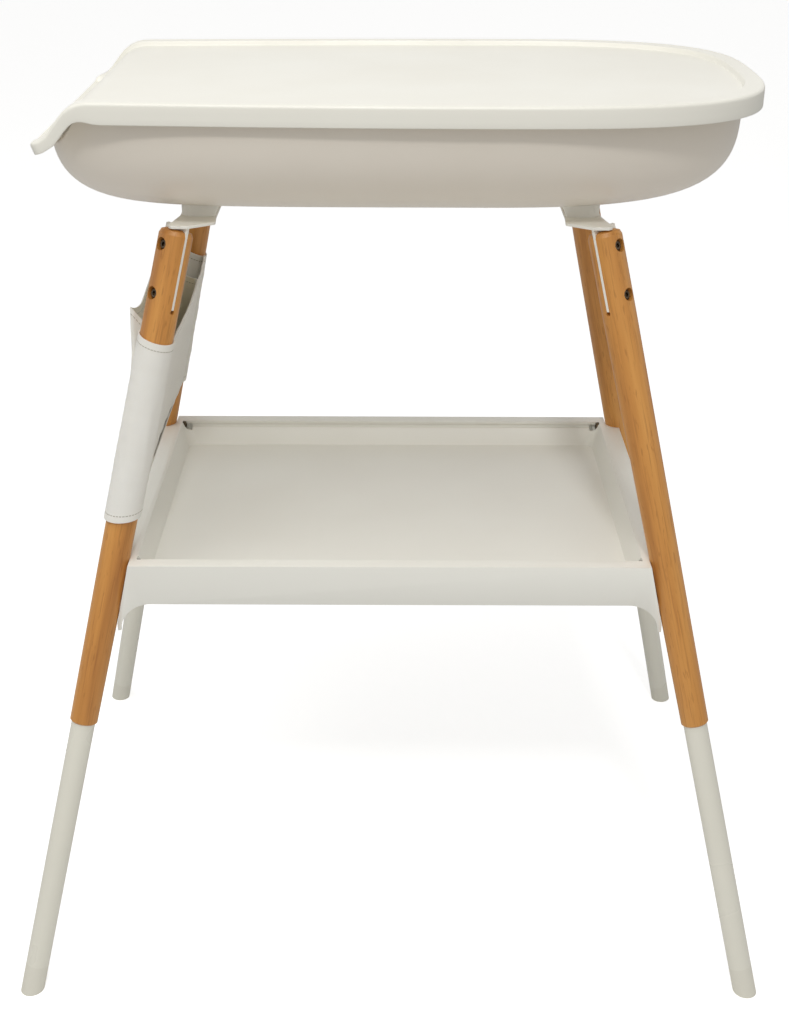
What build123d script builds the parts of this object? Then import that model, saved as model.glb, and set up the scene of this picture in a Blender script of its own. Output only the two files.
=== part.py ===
from build123d import *
import math
import os

os.makedirs("parts", exist_ok=True)

# Frame: X runs along the length with the open lip at -X, -Y is the front, Z is up, and the
# origin lies on the floor under the middle of the four feet. Sizes are in millimetres.

# Stand
FOOT_HALF_X = 400.0
FOOT_HALF_Y = 297.0
LEAN = 0.2295
WOOD_END_Z = 311.5
LEG_TOP_Z = 818.4
LEG_TOP_R = 17.2
LEG_END_R = 14.6
LEG_TOP_ROUND = 6.0
LEG_END_ROUND = 1.5

# Changing top
TOP_Z = 956.0
TOP_HALF_Y = 197.5
TOP_RIGHT_X = 369.0
LIP_END_X = -335.0
ROUND_END_LEN = 269.0
ROUND_END_POWER = 3.1
SIDE_BOW_DROP = 16.5
SKIRT_DEPTH = 20.0
SKIRT_T = 3.5
RIM_W = 20.0
RECESS_DEPTH = 5.0
SHEET_T = 4.0

# Tub
TUB_T = 3.0
TUB_TOP_GAP = 1.5
TUB_FLOOR_Z = 827.5

# Shelf
SHELF_TOP_Z = 488.0
SHELF_HALF_X = 287.5
SHELF_HALF_Y = 203.0
SHELF_SKIRT_H = 45.0

# Working values for clearances and for tools that cut right through
SEAT_GAP = 0.3
RUN_GAP = 0.03
FREE_GAP = 0.2
OVERRUN = 20.0
FAR = 600.0

# Fasteners, hidden pegs and the holes for them are drawn with few sides
PEG_SIDES = 8
HEAD_SIDES = 12
DRAIN_SIDES = 24
HEX_SIDES = 6

SLANT = math.sqrt(1 + 2 * LEAN**2)
CORNERS = [(-1, -1), (1, -1), (1, 1), (-1, 1)]
CORNER_NAMES = dict(zip(CORNERS, ["front_left", "front_right", "rear_right", "rear_left"]))


def save(name, shape):
    """Write one node as a STEP file."""
    shape.label = name
    export_step(shape, f"parts/{name}.step")


def leg_frame(sx, sy):
    """Plane at a foot: Z runs up the leg, X leans away from the middle and Y is level."""
    return Plane(origin=(sx * FOOT_HALF_X, sy * FOOT_HALF_Y, 0), x_dir=(sx, sy, 2 * LEAN),
                 z_dir=(-sx * LEAN, -sy * LEAN, 1))


def leg_centre(sx, sy, z):
    """Point of a leg's axis at height z."""
    return Vector(sx * (FOOT_HALF_X - LEAN * z), sy * (FOOT_HALF_Y - LEAN * z), z)


def rod(radius, start, end):
    """Round bar between two points."""
    run = Vector(end) - Vector(start)
    return extrude(Plane(origin=start, z_dir=run) * Circle(radius), run.length)


def peg(radius, start, end, sides=PEG_SIDES):
    """Straight bar of few sides between two points, or the hole for one."""
    run = Vector(end) - Vector(start)
    return extrude(Plane(origin=start, z_dir=run) * RegularPolygon(radius, sides), run.length)


def block(low, high):
    """Box between two corners."""
    size = Vector(high) - Vector(low)
    middle = (Vector(high) + Vector(low)) / 2
    return Pos(middle) * Box(size.X, size.Y, size.Z)


def slab_y(face_xz, half_y):
    """Extrude a face drawn in the XZ plane to both sides of it."""
    return extrude(face_xz, half_y, both=True)


# Wooden legs, turned and tapered, each split at the top for a blade of its end bracket
WOOD_END_S = WOOD_END_Z * SLANT
LEG_TOP_S = LEG_TOP_Z * SLANT
TENON_R = 11.0
TENON_LEN = 45.0
BLADE_T = 3.0
SLOT_W = BLADE_T + 2 * FREE_GAP
SLOT_LEN = 81.0
RELIEF_R = 2.4
BOLT_R = 3.0
BOLT_HOLE_R = BOLT_R + FREE_GAP
BOLT_HEAD_R = 5.4
BOLT_HEAD_H = 4.0
BOLT_SEAT_X = 10.0
BORE_R = 6.8
FIRST_BOLT_DROP = 16.5
BOLT_PITCH = 49.5
SOCKET_AF = 4.0
SOCKET_DEPTH = 2.2
NUT_R = 5.4
NUT_H = 3.0
BOLT_PAST = 1.5
NUT_OUT_X = SLOT_W / 2 + NUT_H
BOLT_END_X = NUT_OUT_X + BOLT_PAST
SHELF_BOLT_DROP = 5.5
SHELF_BOLT_Z = SHELF_TOP_Z - SHELF_BOLT_DROP
SHELF_BOLT_R = 2.5
SHELF_HEAD_R = 5.0
SHELF_HEAD_H = 4.5
INSERT_R = 4.0
INSERT_LEN = 12.0
ROUND_SHARE = 0.3
SEAT_MARGIN = 9.0
PARALLEL_LOW_S = LEG_TOP_S - SLOT_LEN - SEAT_MARGIN

BOLT_HEIGHTS = [LEG_TOP_S - FIRST_BOLT_DROP, LEG_TOP_S - FIRST_BOLT_DROP - BOLT_PITCH]


def leg_radius(s):
    """Radius of the turned wood at a length s up the leg: a taper, and parallel where it is slotted."""
    share = min(1, (s - WOOD_END_S) / (PARALLEL_LOW_S - WOOD_END_S))
    return LEG_END_R + share * (LEG_TOP_R - LEG_END_R)


def taper(low, high):
    """Tapered length of a leg, from the radius at its low end to the radius at its high end."""
    a = Vector(leg_radius(low), 0, low)
    b = Vector(leg_radius(high), 0, high)
    side = Bezier(a, (a + b) / 2, b)
    middle = Line((0, 0, high), (0, 0, low))
    return revolve(make_face([Line((0, 0, low), a), side, Line(b, (0, 0, high)), middle]), Axis.Z)


def turned(points):
    """Solid turned round Z from points of radius and height."""
    return revolve(make_face(Polyline(*[(r, 0, s) for r, s in points], close=True)), Axis.Z)


def leg_blank():
    """One leg in its own frame, before the shelf bolt hole."""
    low = WOOD_END_S + LEG_END_ROUND
    high = LEG_TOP_S - LEG_TOP_ROUND
    slot_low = LEG_TOP_S - SLOT_LEN
    seat_low, seat_high = SHELF_BOLT_Z * SLANT - SEAT_MARGIN, SHELF_BOLT_Z * SLANT + SEAT_MARGIN
    seat_r = leg_radius(seat_low)
    wood = taper(low, seat_low) + taper(seat_high, PARALLEL_LOW_S)
    wood += turned([(0, seat_low), (seat_r, seat_low), (leg_radius(seat_high), seat_high), (0, seat_high)])
    shoulder_r = leg_radius(low)
    tenon_low = WOOD_END_S - TENON_LEN
    wood += turned([(0, low), (shoulder_r, low), (shoulder_r - LEG_END_ROUND, WOOD_END_S),
                    (TENON_R, WOOD_END_S), (TENON_R, tenon_low), (0, tenon_low)])
    shallow = LEG_TOP_ROUND * ROUND_SHARE
    wood += turned([(0, PARALLEL_LOW_S), (LEG_TOP_R, PARALLEL_LOW_S), (LEG_TOP_R, high),
                    (LEG_TOP_R - shallow, LEG_TOP_S - shallow), (LEG_TOP_R - LEG_TOP_ROUND, LEG_TOP_S),
                    (0, LEG_TOP_S)])
    wood -= block((-SLOT_W / 2, -FAR, slot_low), (SLOT_W / 2, FAR, LEG_TOP_S + OVERRUN))
    wood -= peg(RELIEF_R, (0, -FAR, slot_low), (0, FAR, slot_low), HEAD_SIDES)
    for s in BOLT_HEIGHTS:
        wood -= peg(BOLT_HOLE_R, (-BOLT_END_X - FREE_GAP, 0, s), (FAR, 0, s))
        wood -= peg(BORE_R, (BOLT_SEAT_X, 0, s), (FAR, 0, s), HEAD_SIDES)
        wood -= peg(NUT_R + FREE_GAP, (-NUT_OUT_X - FREE_GAP, 0, s), (0, 0, s), HEX_SIDES)
    return wood


def bolt_x(sx, shank_r, length, head_r, head_h):
    """Round-head bolt with a hex socket: head against the plane X = 0, shank towards the side sx."""
    head = peg(head_r, (0, 0, 0), (-sx * head_h, 0, 0), HEAD_SIDES)
    shank = peg(shank_r, (0, 0, 0), (sx * length, 0, 0))
    key = Plane(origin=(-sx * head_h, 0, 0), z_dir=(sx, 0, 0)) * RegularPolygon(SOCKET_AF / 2, HEX_SIDES)
    return head + shank - extrude(key, SOCKET_DEPTH)


leg_shape = leg_blank()
for corner in CORNERS:
    sx, sy = corner
    leg = leg_frame(sx, sy) * leg_shape
    centre = leg_centre(sx, sy, SHELF_BOLT_Z)
    mouth = centre - Vector(sx * (LEG_TOP_R + OVERRUN), 0, 0)
    inner = centre - Vector(sx * INSERT_LEN, 0, 0)
    leg -= peg(SHELF_BOLT_R + FREE_GAP, mouth, centre)
    leg -= peg(INSERT_R, inner, centre)
    save(f"leg_{CORNER_NAMES[corner]}", leg)

# Leg tubes of painted steel over the tenons, and the end plugs that stand on the floor
TUBE_R = 12.6
TUBE_BORE_R = TENON_R + FREE_GAP
PLUG_TOP_Z = 31.0
PLUG_TOP_S = PLUG_TOP_Z * SLANT
PLUG_SPIGOT_LEN = 22.0
PLUG_ROUND = 8.0
PLUG_BELOW = 12.0


def tube_shape():
    """Steel tube from the wood's shoulder down to the end plug."""
    long = WOOD_END_S - PLUG_TOP_S
    ring = Pos(0, 0, PLUG_TOP_S) * (Circle(TUBE_R) - Circle(TUBE_BORE_R))
    return extrude(ring, long)


def foot_cap_shape():
    """End plug: a spigot in the tube and a round nose, longer than needed for the floor cut."""
    nose = extrude(Pos(0, 0, -PLUG_BELOW) * Circle(TUBE_R), PLUG_TOP_S + PLUG_BELOW)
    nose = fillet(nose.edges().filter_by(GeomType.CIRCLE).sort_by(Axis.Z)[0], PLUG_ROUND)
    spigot_low = Vector(0, 0, PLUG_TOP_S)
    spigot = peg(TUBE_BORE_R - FREE_GAP, spigot_low, spigot_low + Vector(0, 0, PLUG_SPIGOT_LEN), HEAD_SIDES)
    return nose + spigot


tube = tube_shape()
foot_cap = foot_cap_shape()
for corner in CORNERS:
    place = leg_frame(*corner)
    save(f"leg_tube_{CORNER_NAMES[corner]}", place * tube)
    below_floor = block((-FAR, -FAR, -FAR), (FAR, FAR, 0))
    save(f"foot_cap_{CORNER_NAMES[corner]}", place * foot_cap - below_floor)

# The line that the changing top's surface follows at its open end: level, over a crest,
# down a straight fall and out along a flare. A depth is measured square to the surface.
CREST_X = -276.0
CREST_R = 36.0
FALL_ANGLE = 52.0
FALL_LEN = 19.0
FLARE_R = 22.0
FLARE_ANGLE = 20.0
LOW_CREST_X = -286.0
LOW_CREST_R = 8.0
LOW_FALL_ANGLE = 50.0
LOW_FALL_LEN = 25.0
LOW_FLARE_R = 16.0
LOW_FLARE_ANGLE = 15.0


def waterfall(x, z, crest_r, fall_angle, fall_len, flare_r, flare_angle, end_x):
    """Edges of the S-shaped line, from the right, in the XZ plane."""
    fall, flare = math.radians(fall_angle), math.radians(flare_angle)
    mid = fall / 2
    a = Vector(x, 0, z)
    b = a - Vector(crest_r * math.sin(fall), 0, crest_r * (1 - math.cos(fall)))
    ab = a - Vector(crest_r * math.sin(mid), 0, crest_r * (1 - math.cos(mid)))
    c = b - Vector(fall_len * math.cos(fall), 0, fall_len * math.sin(fall))
    turn = (fall + flare) / 2
    d = c - Vector(flare_r * (math.sin(fall) - math.sin(flare)), 0,
                   flare_r * (math.cos(flare) - math.cos(fall)))
    cd = c - Vector(flare_r * (math.sin(fall) - math.sin(turn)), 0,
                    flare_r * (math.cos(turn) - math.cos(fall)))
    rest = d.X - end_x
    e = Vector(end_x, 0, d.Z - rest * math.tan(flare))
    start = Vector(FAR, 0, z)
    edges = [Line(start, a), ThreePointArc(a, ab, b), Line(b, c), ThreePointArc(c, cd, d), Line(d, e)]
    return edges, start, e


def surface_line(depth, end_x):
    """The top surface's line moved square to itself by depth, down into the top."""
    return waterfall(CREST_X, TOP_Z - depth, CREST_R - depth, FALL_ANGLE, FALL_LEN, FLARE_R + depth,
                     FLARE_ANGLE, end_x)


def skirt_line(end_x):
    """The lower edge of the top's skirt."""
    return waterfall(LOW_CREST_X, TOP_Z - SKIRT_DEPTH, LOW_CREST_R, LOW_FALL_ANGLE, LOW_FALL_LEN,
                     LOW_FLARE_R, LOW_FLARE_ANGLE, end_x)


def region(line, level):
    """Area between such a line and a level far above or below it, right across the part."""
    edges, start, end = line
    close = Polyline(end, (end.X, 0, level), (start.X, 0, level), start)
    return slab_y(make_face([*edges, *close.edges()]), FAR)


OUT_X = LIP_END_X - OVERRUN
ABOVE = TOP_Z + OVERRUN
BELOW = TOP_Z - FAR


def round_end(centre_x, length, half_y, power, count, side):
    """Points of a quarter of a superellipse, from its tip to its widest place."""
    points = []
    for i in range(count + 1):
        t = math.pi / 2 * i / count
        x = length * math.cos(t) ** (2 / power) if i < count else 0
        y = half_y * math.sin(t) ** (2 / power) if i > 0 else 0
        points.append(Vector(centre_x + side * x, y))
    return points


ROUND_CENTRE_X = TOP_RIGHT_X - ROUND_END_LEN
ROUND_POINTS = 7
LIP_CORNER_R = 10.0


def top_outline(inset, left_x):
    """Plan of the changing top, drawn in by inset: a round right end, bowed sides, a straight left."""
    half_y = TOP_HALF_Y - inset
    points = round_end(ROUND_CENTRE_X, ROUND_END_LEN - inset, half_y, ROUND_END_POWER, ROUND_POINTS, 1)
    tip = ThreePointArc(Vector(points[1].X, -points[1].Y), points[0], points[1])
    upper = [ThreePointArc(*points[i:i + 3]) for i in range(1, ROUND_POINTS, 2)]
    reach = ROUND_CENTRE_X - LIP_END_X
    bow_r = reach**2 / (2 * SIDE_BOW_DROP)
    run = ROUND_CENTRE_X - left_x
    left_y = half_y - bow_r + math.sqrt(bow_r**2 - run**2)
    mid_y = half_y - bow_r + math.sqrt(bow_r**2 - (run / 2) ** 2)
    widest = Vector(ROUND_CENTRE_X, half_y)
    side = ThreePointArc(widest, Vector(ROUND_CENTRE_X - run / 2, mid_y), Vector(left_x, left_y))
    back = Line((left_x, left_y), (left_x, -left_y))
    edges = [tip, *upper, side, back]
    edges += [mirror(e, Plane.XZ) for e in (side, *upper)]
    sheet = make_face(edges)
    return fillet(sheet.vertices().sort_by(Axis.X)[:2], LIP_CORNER_R)


def top_prism(inset, left_x, low, high):
    """Upright prism on the top's plan."""
    return extrude(Pos(0, 0, low) * top_outline(inset, left_x), high - low)


FLOOR_UNDER = RECESS_DEPTH + SHEET_T
RIM_WALL_INSET = RIM_W - SHEET_T
LEVEL_LEFT_X = CREST_X + RIM_W

# Hinges along the rear edge of the top
HINGE_X = 150.0
HINGE_Y = 207.0
HINGE_Z = 940.0
LEAF_T = 2.5
LEAF_HALF = 24.0
KNUCKLE_R = 4.5
PIN_R = 2.0
PIN_LEN = 52.0
MID_KNUCKLE_HALF = 8.0
TOP_PAD_Y = 199.5
TOP_PAD_HALF = 27.0
TOP_PAD_LOW = 937.0
TOP_LEAF_LOW = 938.5
TOP_LEAF_HIGH = 952.0
LEAF_WEB_T = 3.0
TUB_PAD_Y = 184.0
TUB_PAD_LOW = 904.0
TUB_PAD_HIGH = 929.0
TUB_PAD_HALF = 22.0
TUB_LEAF_LOW = 906.0
TUB_LEAF_HIGH = 928.0
SCREW_R = 1.7
SCREW_HEAD_R = 3.2
SCREW_HEAD_H = 1.6
SCREW_LEN = 6.0
TOP_SCREW_X = 18.0
TOP_SCREW_Z = 947.5
TUB_SCREW_X = 14.0
TUB_SCREW_Z = 912.0

RIB_T = 2.5
RIB_DEPTH = 6.0
RIB_HALF_Y = 160.0
RIB_SHARES = [0.1, 0.4, 0.7]
LONG_RIB_Y = 70.0
RIB_PLACES = [LEVEL_LEFT_X + share * (TOP_RIGHT_X - LEVEL_LEFT_X) for share in RIB_SHARES]


def changing_top():
    """Moulded tray: rim and recess above, skirt round the edge, ribs below, open lip at the left."""
    body = region(surface_line(0, OUT_X), BELOW) & region(skirt_line(OUT_X), ABOVE)
    body &= top_prism(0, LIP_END_X, BELOW, ABOVE)
    hollow = region(surface_line(FLOOR_UNDER, OUT_X), BELOW)
    hollow &= top_prism(SKIRT_T, LIP_END_X + SKIRT_T, BELOW, ABOVE)
    body -= hollow
    channel = top_prism(SKIRT_T, LEVEL_LEFT_X, TOP_Z - FLOOR_UNDER - SEAT_GAP, TOP_Z - SHEET_T)
    channel -= top_prism(RIM_WALL_INSET, LEVEL_LEFT_X - OVERRUN, BELOW, ABOVE)
    body -= channel
    recess = region(surface_line(RECESS_DEPTH, OUT_X), ABOVE)
    recess &= top_prism(RIM_W, OUT_X, BELOW, ABOVE)
    body -= recess
    rib_top = TOP_Z - FLOOR_UNDER
    for x in RIB_PLACES:
        body += block((x - RIB_T / 2, -RIB_HALF_Y, rib_top - RIB_DEPTH),
                      (x + RIB_T / 2, RIB_HALF_Y, rib_top))
    for y in (-LONG_RIB_Y, LONG_RIB_Y):
        body += block((RIB_PLACES[0], y - RIB_T / 2, rib_top - RIB_DEPTH),
                      (RIB_PLACES[-1], y + RIB_T / 2, rib_top))
    pad_low_y = TOP_HALF_Y - SIDE_BOW_DROP + SKIRT_T
    for x in (-HINGE_X, HINGE_X):
        pad = block((x - TOP_PAD_HALF, pad_low_y, TOP_PAD_LOW),
                    (x + TOP_PAD_HALF, TOP_PAD_Y, TOP_LEAF_HIGH))
        body += pad - top_prism(SKIRT_T, LEVEL_LEFT_X, BELOW, ABOVE)
        for dx in (-TOP_SCREW_X, TOP_SCREW_X):
            tip = (x + dx, TOP_PAD_Y - SCREW_LEN - FREE_GAP, TOP_SCREW_Z)
            body -= peg(SCREW_R + FREE_GAP, tip, (x + dx, TOP_PAD_Y + OVERRUN, TOP_SCREW_Z))
    return body


save("changing_top", changing_top())

# Tub: level outlines that follow a quarter of a superellipse from the flat of the floor up to the
# full reach, and go on as a steep wall to above the rim, straight from each row to the next
TUB_LEFT_X = -334.5
TUB_RIGHT_X = 354.0
TUB_HALF_Y = 182.5
TUB_ROUND_H = 106.0
TUB_FLARE = 1.5
FLAT_SIDE_SHARE = 0.135
FLAT_END_SHARE = 0.16
TUB_SIDE_POWER = 2.1
TUB_END_POWER = 3.4
TUB_LEFT_MID_X = -97.0
TUB_RIGHT_MID_X = 80.0
TUB_ROWS = 10
TUB_CENTRE_X = 90.0
TUB_RIGHT_POWER = 2.55
TUB_LEFT_POWER = 5.2
TUB_POINTS = 7
FLANGE_INSET = 5.5
FLANGE_T = 3.0


def tub_outline(z, left, right, half_y):
    """Closed level outline: round at the right, blunt at the left."""
    a = round_end(TUB_CENTRE_X, right - TUB_CENTRE_X, half_y, TUB_RIGHT_POWER, TUB_POINTS, 1)
    b = round_end(TUB_CENTRE_X, TUB_CENTRE_X - left, half_y, TUB_LEFT_POWER, TUB_POINTS, -1)
    upper = a + b[::-1][1:]
    lower = [Vector(p.X, -p.Y) for p in upper[::-1][1:-1]]
    ring = Spline(*(upper + lower), periodic=True)
    return Pos(0, 0, z) * make_face(ring)


def bulge(share, power, flat_share):
    """Reach at a share of the height, as a share of the full reach."""
    return flat_share + (1 - flat_share) * (1 - (1 - share) ** power) ** (1 / power)


def tub_body(wall):
    """Smooth solid through the outlines, drawn in and raised by the wall."""
    left, right = TUB_LEFT_X + wall, TUB_RIGHT_X - wall
    half_y = TUB_HALF_Y - wall
    low = TUB_FLOOR_Z + wall
    faces = []
    for i in range(TUB_ROWS):
        share = 1 - math.cos(math.pi / 2 * i / (TUB_ROWS - 1))
        end = bulge(share, TUB_END_POWER, FLAT_END_SHARE)
        side = bulge(share, TUB_SIDE_POWER, FLAT_SIDE_SHARE)
        row_left = TUB_LEFT_MID_X + (left - TUB_LEFT_MID_X) * end
        row_right = TUB_RIGHT_MID_X + (right - TUB_RIGHT_MID_X) * end
        faces.append(tub_outline(low + (TUB_ROUND_H - wall) * share, row_left, row_right, half_y * side))
    faces.append(tub_outline(TOP_Z, left - TUB_FLARE, right + TUB_FLARE, half_y + TUB_FLARE))
    return loft(faces, ruled=True)


tub_outer = tub_body(0)
tub_inner = tub_body(TUB_T)
over_tub = region(surface_line(FLOOR_UNDER + TUB_TOP_GAP, OUT_X - OVERRUN), ABOVE + FAR)
TUB_RIM_Z = TOP_Z - FLOOR_UNDER - TUB_TOP_GAP
lip_end_block = block((-FAR, -FAR, BELOW), (LIP_END_X + SKIRT_T + TUB_TOP_GAP, FAR, ABOVE))

# Drain in the floor of the tub
DRAIN_X = 100.0
DRAIN_TUBE_R = 15.0
DRAIN_BORE_R = 12.0
DRAIN_FLANGE_R = 23.0
DRAIN_FLANGE_T = 2.0
DRAIN_SEAL_T = 1.0
DRAIN_SEAL_R = 21.0
DRAIN_NUT_R = 20.0
DRAIN_NUT_H = 5.5
DRAIN_LOW_Z = 816.0
DRAIN_BAR_T = 1.6
PLUG_CAP_R = 16.5
PLUG_CAP_T = 2.5
PLUG_STEM_LEN = 8.0
PLUG_NECK_R = 3.2
PLUG_NECK_H = 7.0
PLUG_KNOB_R = 5.5
PLUG_KNOB_H = 5.0

# Bosses under the tub that the end brackets are screwed to
SADDLE_X = 189.5
BOSS_Y = 60.0
BOSS_R = 6.0
BOSS_SCREW_R = 2.0
BOSS_SCREW_LEN = 8.5
PLATE_LOW_Z = 822.5
PLATE_T = 3.0
PLATE_TOP_Z = PLATE_LOW_Z + PLATE_T


def disc(radius, low, high):
    """Upright round of the drain."""
    return peg(radius, (DRAIN_X, 0, low), (DRAIN_X, 0, high), DRAIN_SIDES)


def tub():
    """Thin tub with a turned-out rim, open at the top, its end cut to the fall of the top's lip."""
    shell = tub_outer - tub_inner
    for sx in (-1, 1):
        for sy in (-1, 1):
            boss = peg(BOSS_R, (sx * SADDLE_X, sy * BOSS_Y, PLATE_TOP_Z + SEAT_GAP),
                       (sx * SADDLE_X, sy * BOSS_Y, TUB_FLOOR_Z + OVERRUN), HEAD_SIDES)
            shell += boss - tub_inner
    for x in (-HINGE_X, HINGE_X):
        pad = block((x - TUB_PAD_HALF, TUB_PAD_Y - OVERRUN, TUB_PAD_LOW),
                    (x + TUB_PAD_HALF, TUB_PAD_Y, TUB_PAD_HIGH))
        shell += pad - tub_outer
        for dx in (-TUB_SCREW_X, TUB_SCREW_X):
            tip = (x + dx, TUB_PAD_Y - SCREW_LEN - FREE_GAP, TUB_SCREW_Z)
            shell -= peg(SCREW_R + FREE_GAP, tip, (x + dx, TUB_PAD_Y + OVERRUN, TUB_SCREW_Z))
    flange = top_prism(FLANGE_INSET, LEVEL_LEFT_X, TUB_RIM_Z - FLANGE_T, TUB_RIM_Z) - tub_outer
    shell += flange
    shell -= over_tub
    shell -= Pos(0, 0, -TUB_TOP_GAP) * region(skirt_line(OUT_X - OVERRUN), ABOVE + FAR) & lip_end_block
    for sx in (-1, 1):
        for sy in (-1, 1):
            low = Vector(sx * SADDLE_X, sy * BOSS_Y, PLATE_LOW_Z)
            shell -= peg(BOSS_SCREW_R + FREE_GAP, low, low + Vector(0, 0, BOSS_SCREW_LEN + FREE_GAP))
    shell -= disc(DRAIN_TUBE_R + FREE_GAP, TUB_FLOOR_Z - OVERRUN, TUB_FLOOR_Z + OVERRUN)
    return shell


save("tub", tub())

tub_floor_top = TUB_FLOOR_Z + TUB_T
seal_top = tub_floor_top + DRAIN_SEAL_T
flange_top = seal_top + DRAIN_FLANGE_T
seal = disc(DRAIN_SEAL_R, tub_floor_top, seal_top) - disc(DRAIN_TUBE_R + FREE_GAP, tub_floor_top, seal_top)
save("drain_seal", seal)
drain = disc(DRAIN_FLANGE_R, seal_top, flange_top) + disc(DRAIN_TUBE_R, DRAIN_LOW_Z, seal_top)
drain -= disc(DRAIN_BORE_R, DRAIN_LOW_Z, flange_top)
bar_top = DRAIN_LOW_Z + DRAIN_FLANGE_T
for bar_x, bar_y in ((DRAIN_BORE_R, DRAIN_BAR_T / 2), (DRAIN_BAR_T / 2, DRAIN_BORE_R)):
    drain += block((DRAIN_X - bar_x, -bar_y, DRAIN_LOW_Z), (DRAIN_X + bar_x, bar_y, bar_top))
save("drain_outlet", drain)
washer_low = TUB_FLOOR_Z - DRAIN_SEAL_T
washer = disc(DRAIN_SEAL_R, washer_low, TUB_FLOOR_Z)
save("drain_washer", washer - disc(DRAIN_TUBE_R + FREE_GAP, washer_low, TUB_FLOOR_Z))
nut_low = washer_low - DRAIN_NUT_H
nut = extrude(Pos(DRAIN_X, 0, nut_low) * RegularPolygon(DRAIN_NUT_R, HEX_SIDES), DRAIN_NUT_H)
save("drain_nut", nut - disc(DRAIN_TUBE_R + RUN_GAP, nut_low, washer_low))
cap_low = flange_top + SEAT_GAP
knob_low = cap_low + PLUG_CAP_T
neck_top = knob_low + PLUG_NECK_H
plug = disc(PLUG_CAP_R, cap_low, knob_low) + disc(DRAIN_BORE_R - FREE_GAP, cap_low - PLUG_STEM_LEN, cap_low)
plug += disc(PLUG_NECK_R, knob_low, neck_top) + disc(PLUG_KNOB_R, neck_top, neck_top + PLUG_KNOB_H)
save("drain_plug", plug)

# End brackets: a saddle under the tub, a plate over two leg tops and a blade down into each leg
SADDLE_OUT = 21.5
SADDLE_IN = 13.0
SADDLE_FLARE = 14.0
SADDLE_HALF_Y = 88.0
SADDLE_ROUND = 12.0
PLATE_OUT_X = 219.5
PLATE_TIP_Y = 124.5
PLATE_IN_X = 174.0
PLATE_IN_Y = 108.0
PLATE_WAIST_X = 212.0
PLATE_WAIST_Y = 84.0
PLATE_INNER_X = 175.5
PLATE_APEX_X = 200.0
PLATE_ROUND = 4.0
BLADE_INSET = 0.2
BLADE_END_GAP = 2.0


def blade():
    """Flat blade in a leg's frame, as wide as the leg and flush with it."""
    low = LEG_TOP_S - SLOT_LEN + BLADE_END_GAP
    high = (PLATE_TOP_Z + OVERRUN) * SLANT
    wide_low, wide_high = leg_radius(low) - BLADE_INSET, leg_radius(LEG_TOP_S) - BLADE_INSET
    outline = Polyline((0, -wide_low, low), (0, wide_low, low), (0, wide_high, LEG_TOP_S),
                       (0, wide_high, high), (0, -wide_high, high), (0, -wide_high, LEG_TOP_S), close=True)
    plate = extrude(make_face(outline), BLADE_T / 2, both=True)
    for s in BOLT_HEIGHTS:
        plate -= peg(BOLT_HOLE_R, (-FAR, 0, s), (FAR, 0, s))
    return plate


def bracket(side):
    """Left (side -1) or right (side 1) end bracket."""
    quarter = [(PLATE_INNER_X, 0), (PLATE_INNER_X, -PLATE_WAIST_Y), (PLATE_IN_X, -PLATE_IN_Y),
               (PLATE_APEX_X, -PLATE_TIP_Y), (PLATE_OUT_X - PLATE_ROUND, -PLATE_TIP_Y),
               (PLATE_OUT_X, -PLATE_TIP_Y + PLATE_ROUND), (PLATE_WAIST_X, -PLATE_WAIST_Y),
               (PLATE_WAIST_X, 0)]
    outline = quarter + [(x, -y) for x, y in quarter[::-1][1:-1]]
    sheet = make_face(Polyline(*[(side * x, y) for x, y in outline], close=True))
    sheet = fillet([v for v in sheet.vertices() if abs(v.Y) > PLATE_WAIST_Y - RUN_GAP], PLATE_ROUND)
    plate = extrude(Pos(0, 0, PLATE_LOW_Z) * sheet, PLATE_T)
    out_x, in_x = side * (SADDLE_X + SADDLE_OUT), side * (SADDLE_X - SADDLE_IN)
    wide_x = side * (SADDLE_X - SADDLE_IN - SADDLE_FLARE)
    high = PLATE_TOP_Z + OVERRUN
    flare_z = PLATE_TOP_Z + SADDLE_FLARE
    cove_x = wide_x + side * SADDLE_FLARE * math.sqrt(1 / 2)
    cove_z = PLATE_TOP_Z + SADDLE_FLARE * math.sqrt(1 / 2)
    profile = [Line((out_x, 0, PLATE_TOP_Z), (out_x, 0, high)), Line((out_x, 0, high), (wide_x, 0, high)),
               Line((wide_x, 0, high), (wide_x, 0, flare_z)),
               ThreePointArc((wide_x, 0, flare_z), (cove_x, 0, cove_z), (in_x, 0, PLATE_TOP_Z)),
               Line((in_x, 0, PLATE_TOP_Z), (out_x, 0, PLATE_TOP_Z))]
    saddle = slab_y(make_face(profile), SADDLE_HALF_Y)
    uprights = saddle.edges().filter_by(Axis.Z).filter_by(lambda e: abs(e.center().X - out_x) < RUN_GAP)
    saddle = fillet(uprights, SADDLE_ROUND)
    saddle -= Pos(0, 0, -SEAT_GAP) * tub_outer
    body = plate + saddle
    above = block((-FAR, -FAR, PLATE_LOW_Z), (FAR, FAR, PLATE_LOW_Z + FAR))
    shape = blade()
    for sy in (-1, 1):
        body += leg_frame(side, sy) * shape - above
        low = Vector(side * SADDLE_X, sy * BOSS_Y, PLATE_LOW_Z - OVERRUN)
        body -= peg(BOSS_R + FREE_GAP, (low.X, low.Y, PLATE_TOP_Z), (low.X, low.Y, high), HEAD_SIDES)
        body -= peg(BOSS_SCREW_R + FREE_GAP, low, (low.X, low.Y, high))
    return body


save("bracket_left", bracket(-1))
save("bracket_right", bracket(1))

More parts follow.
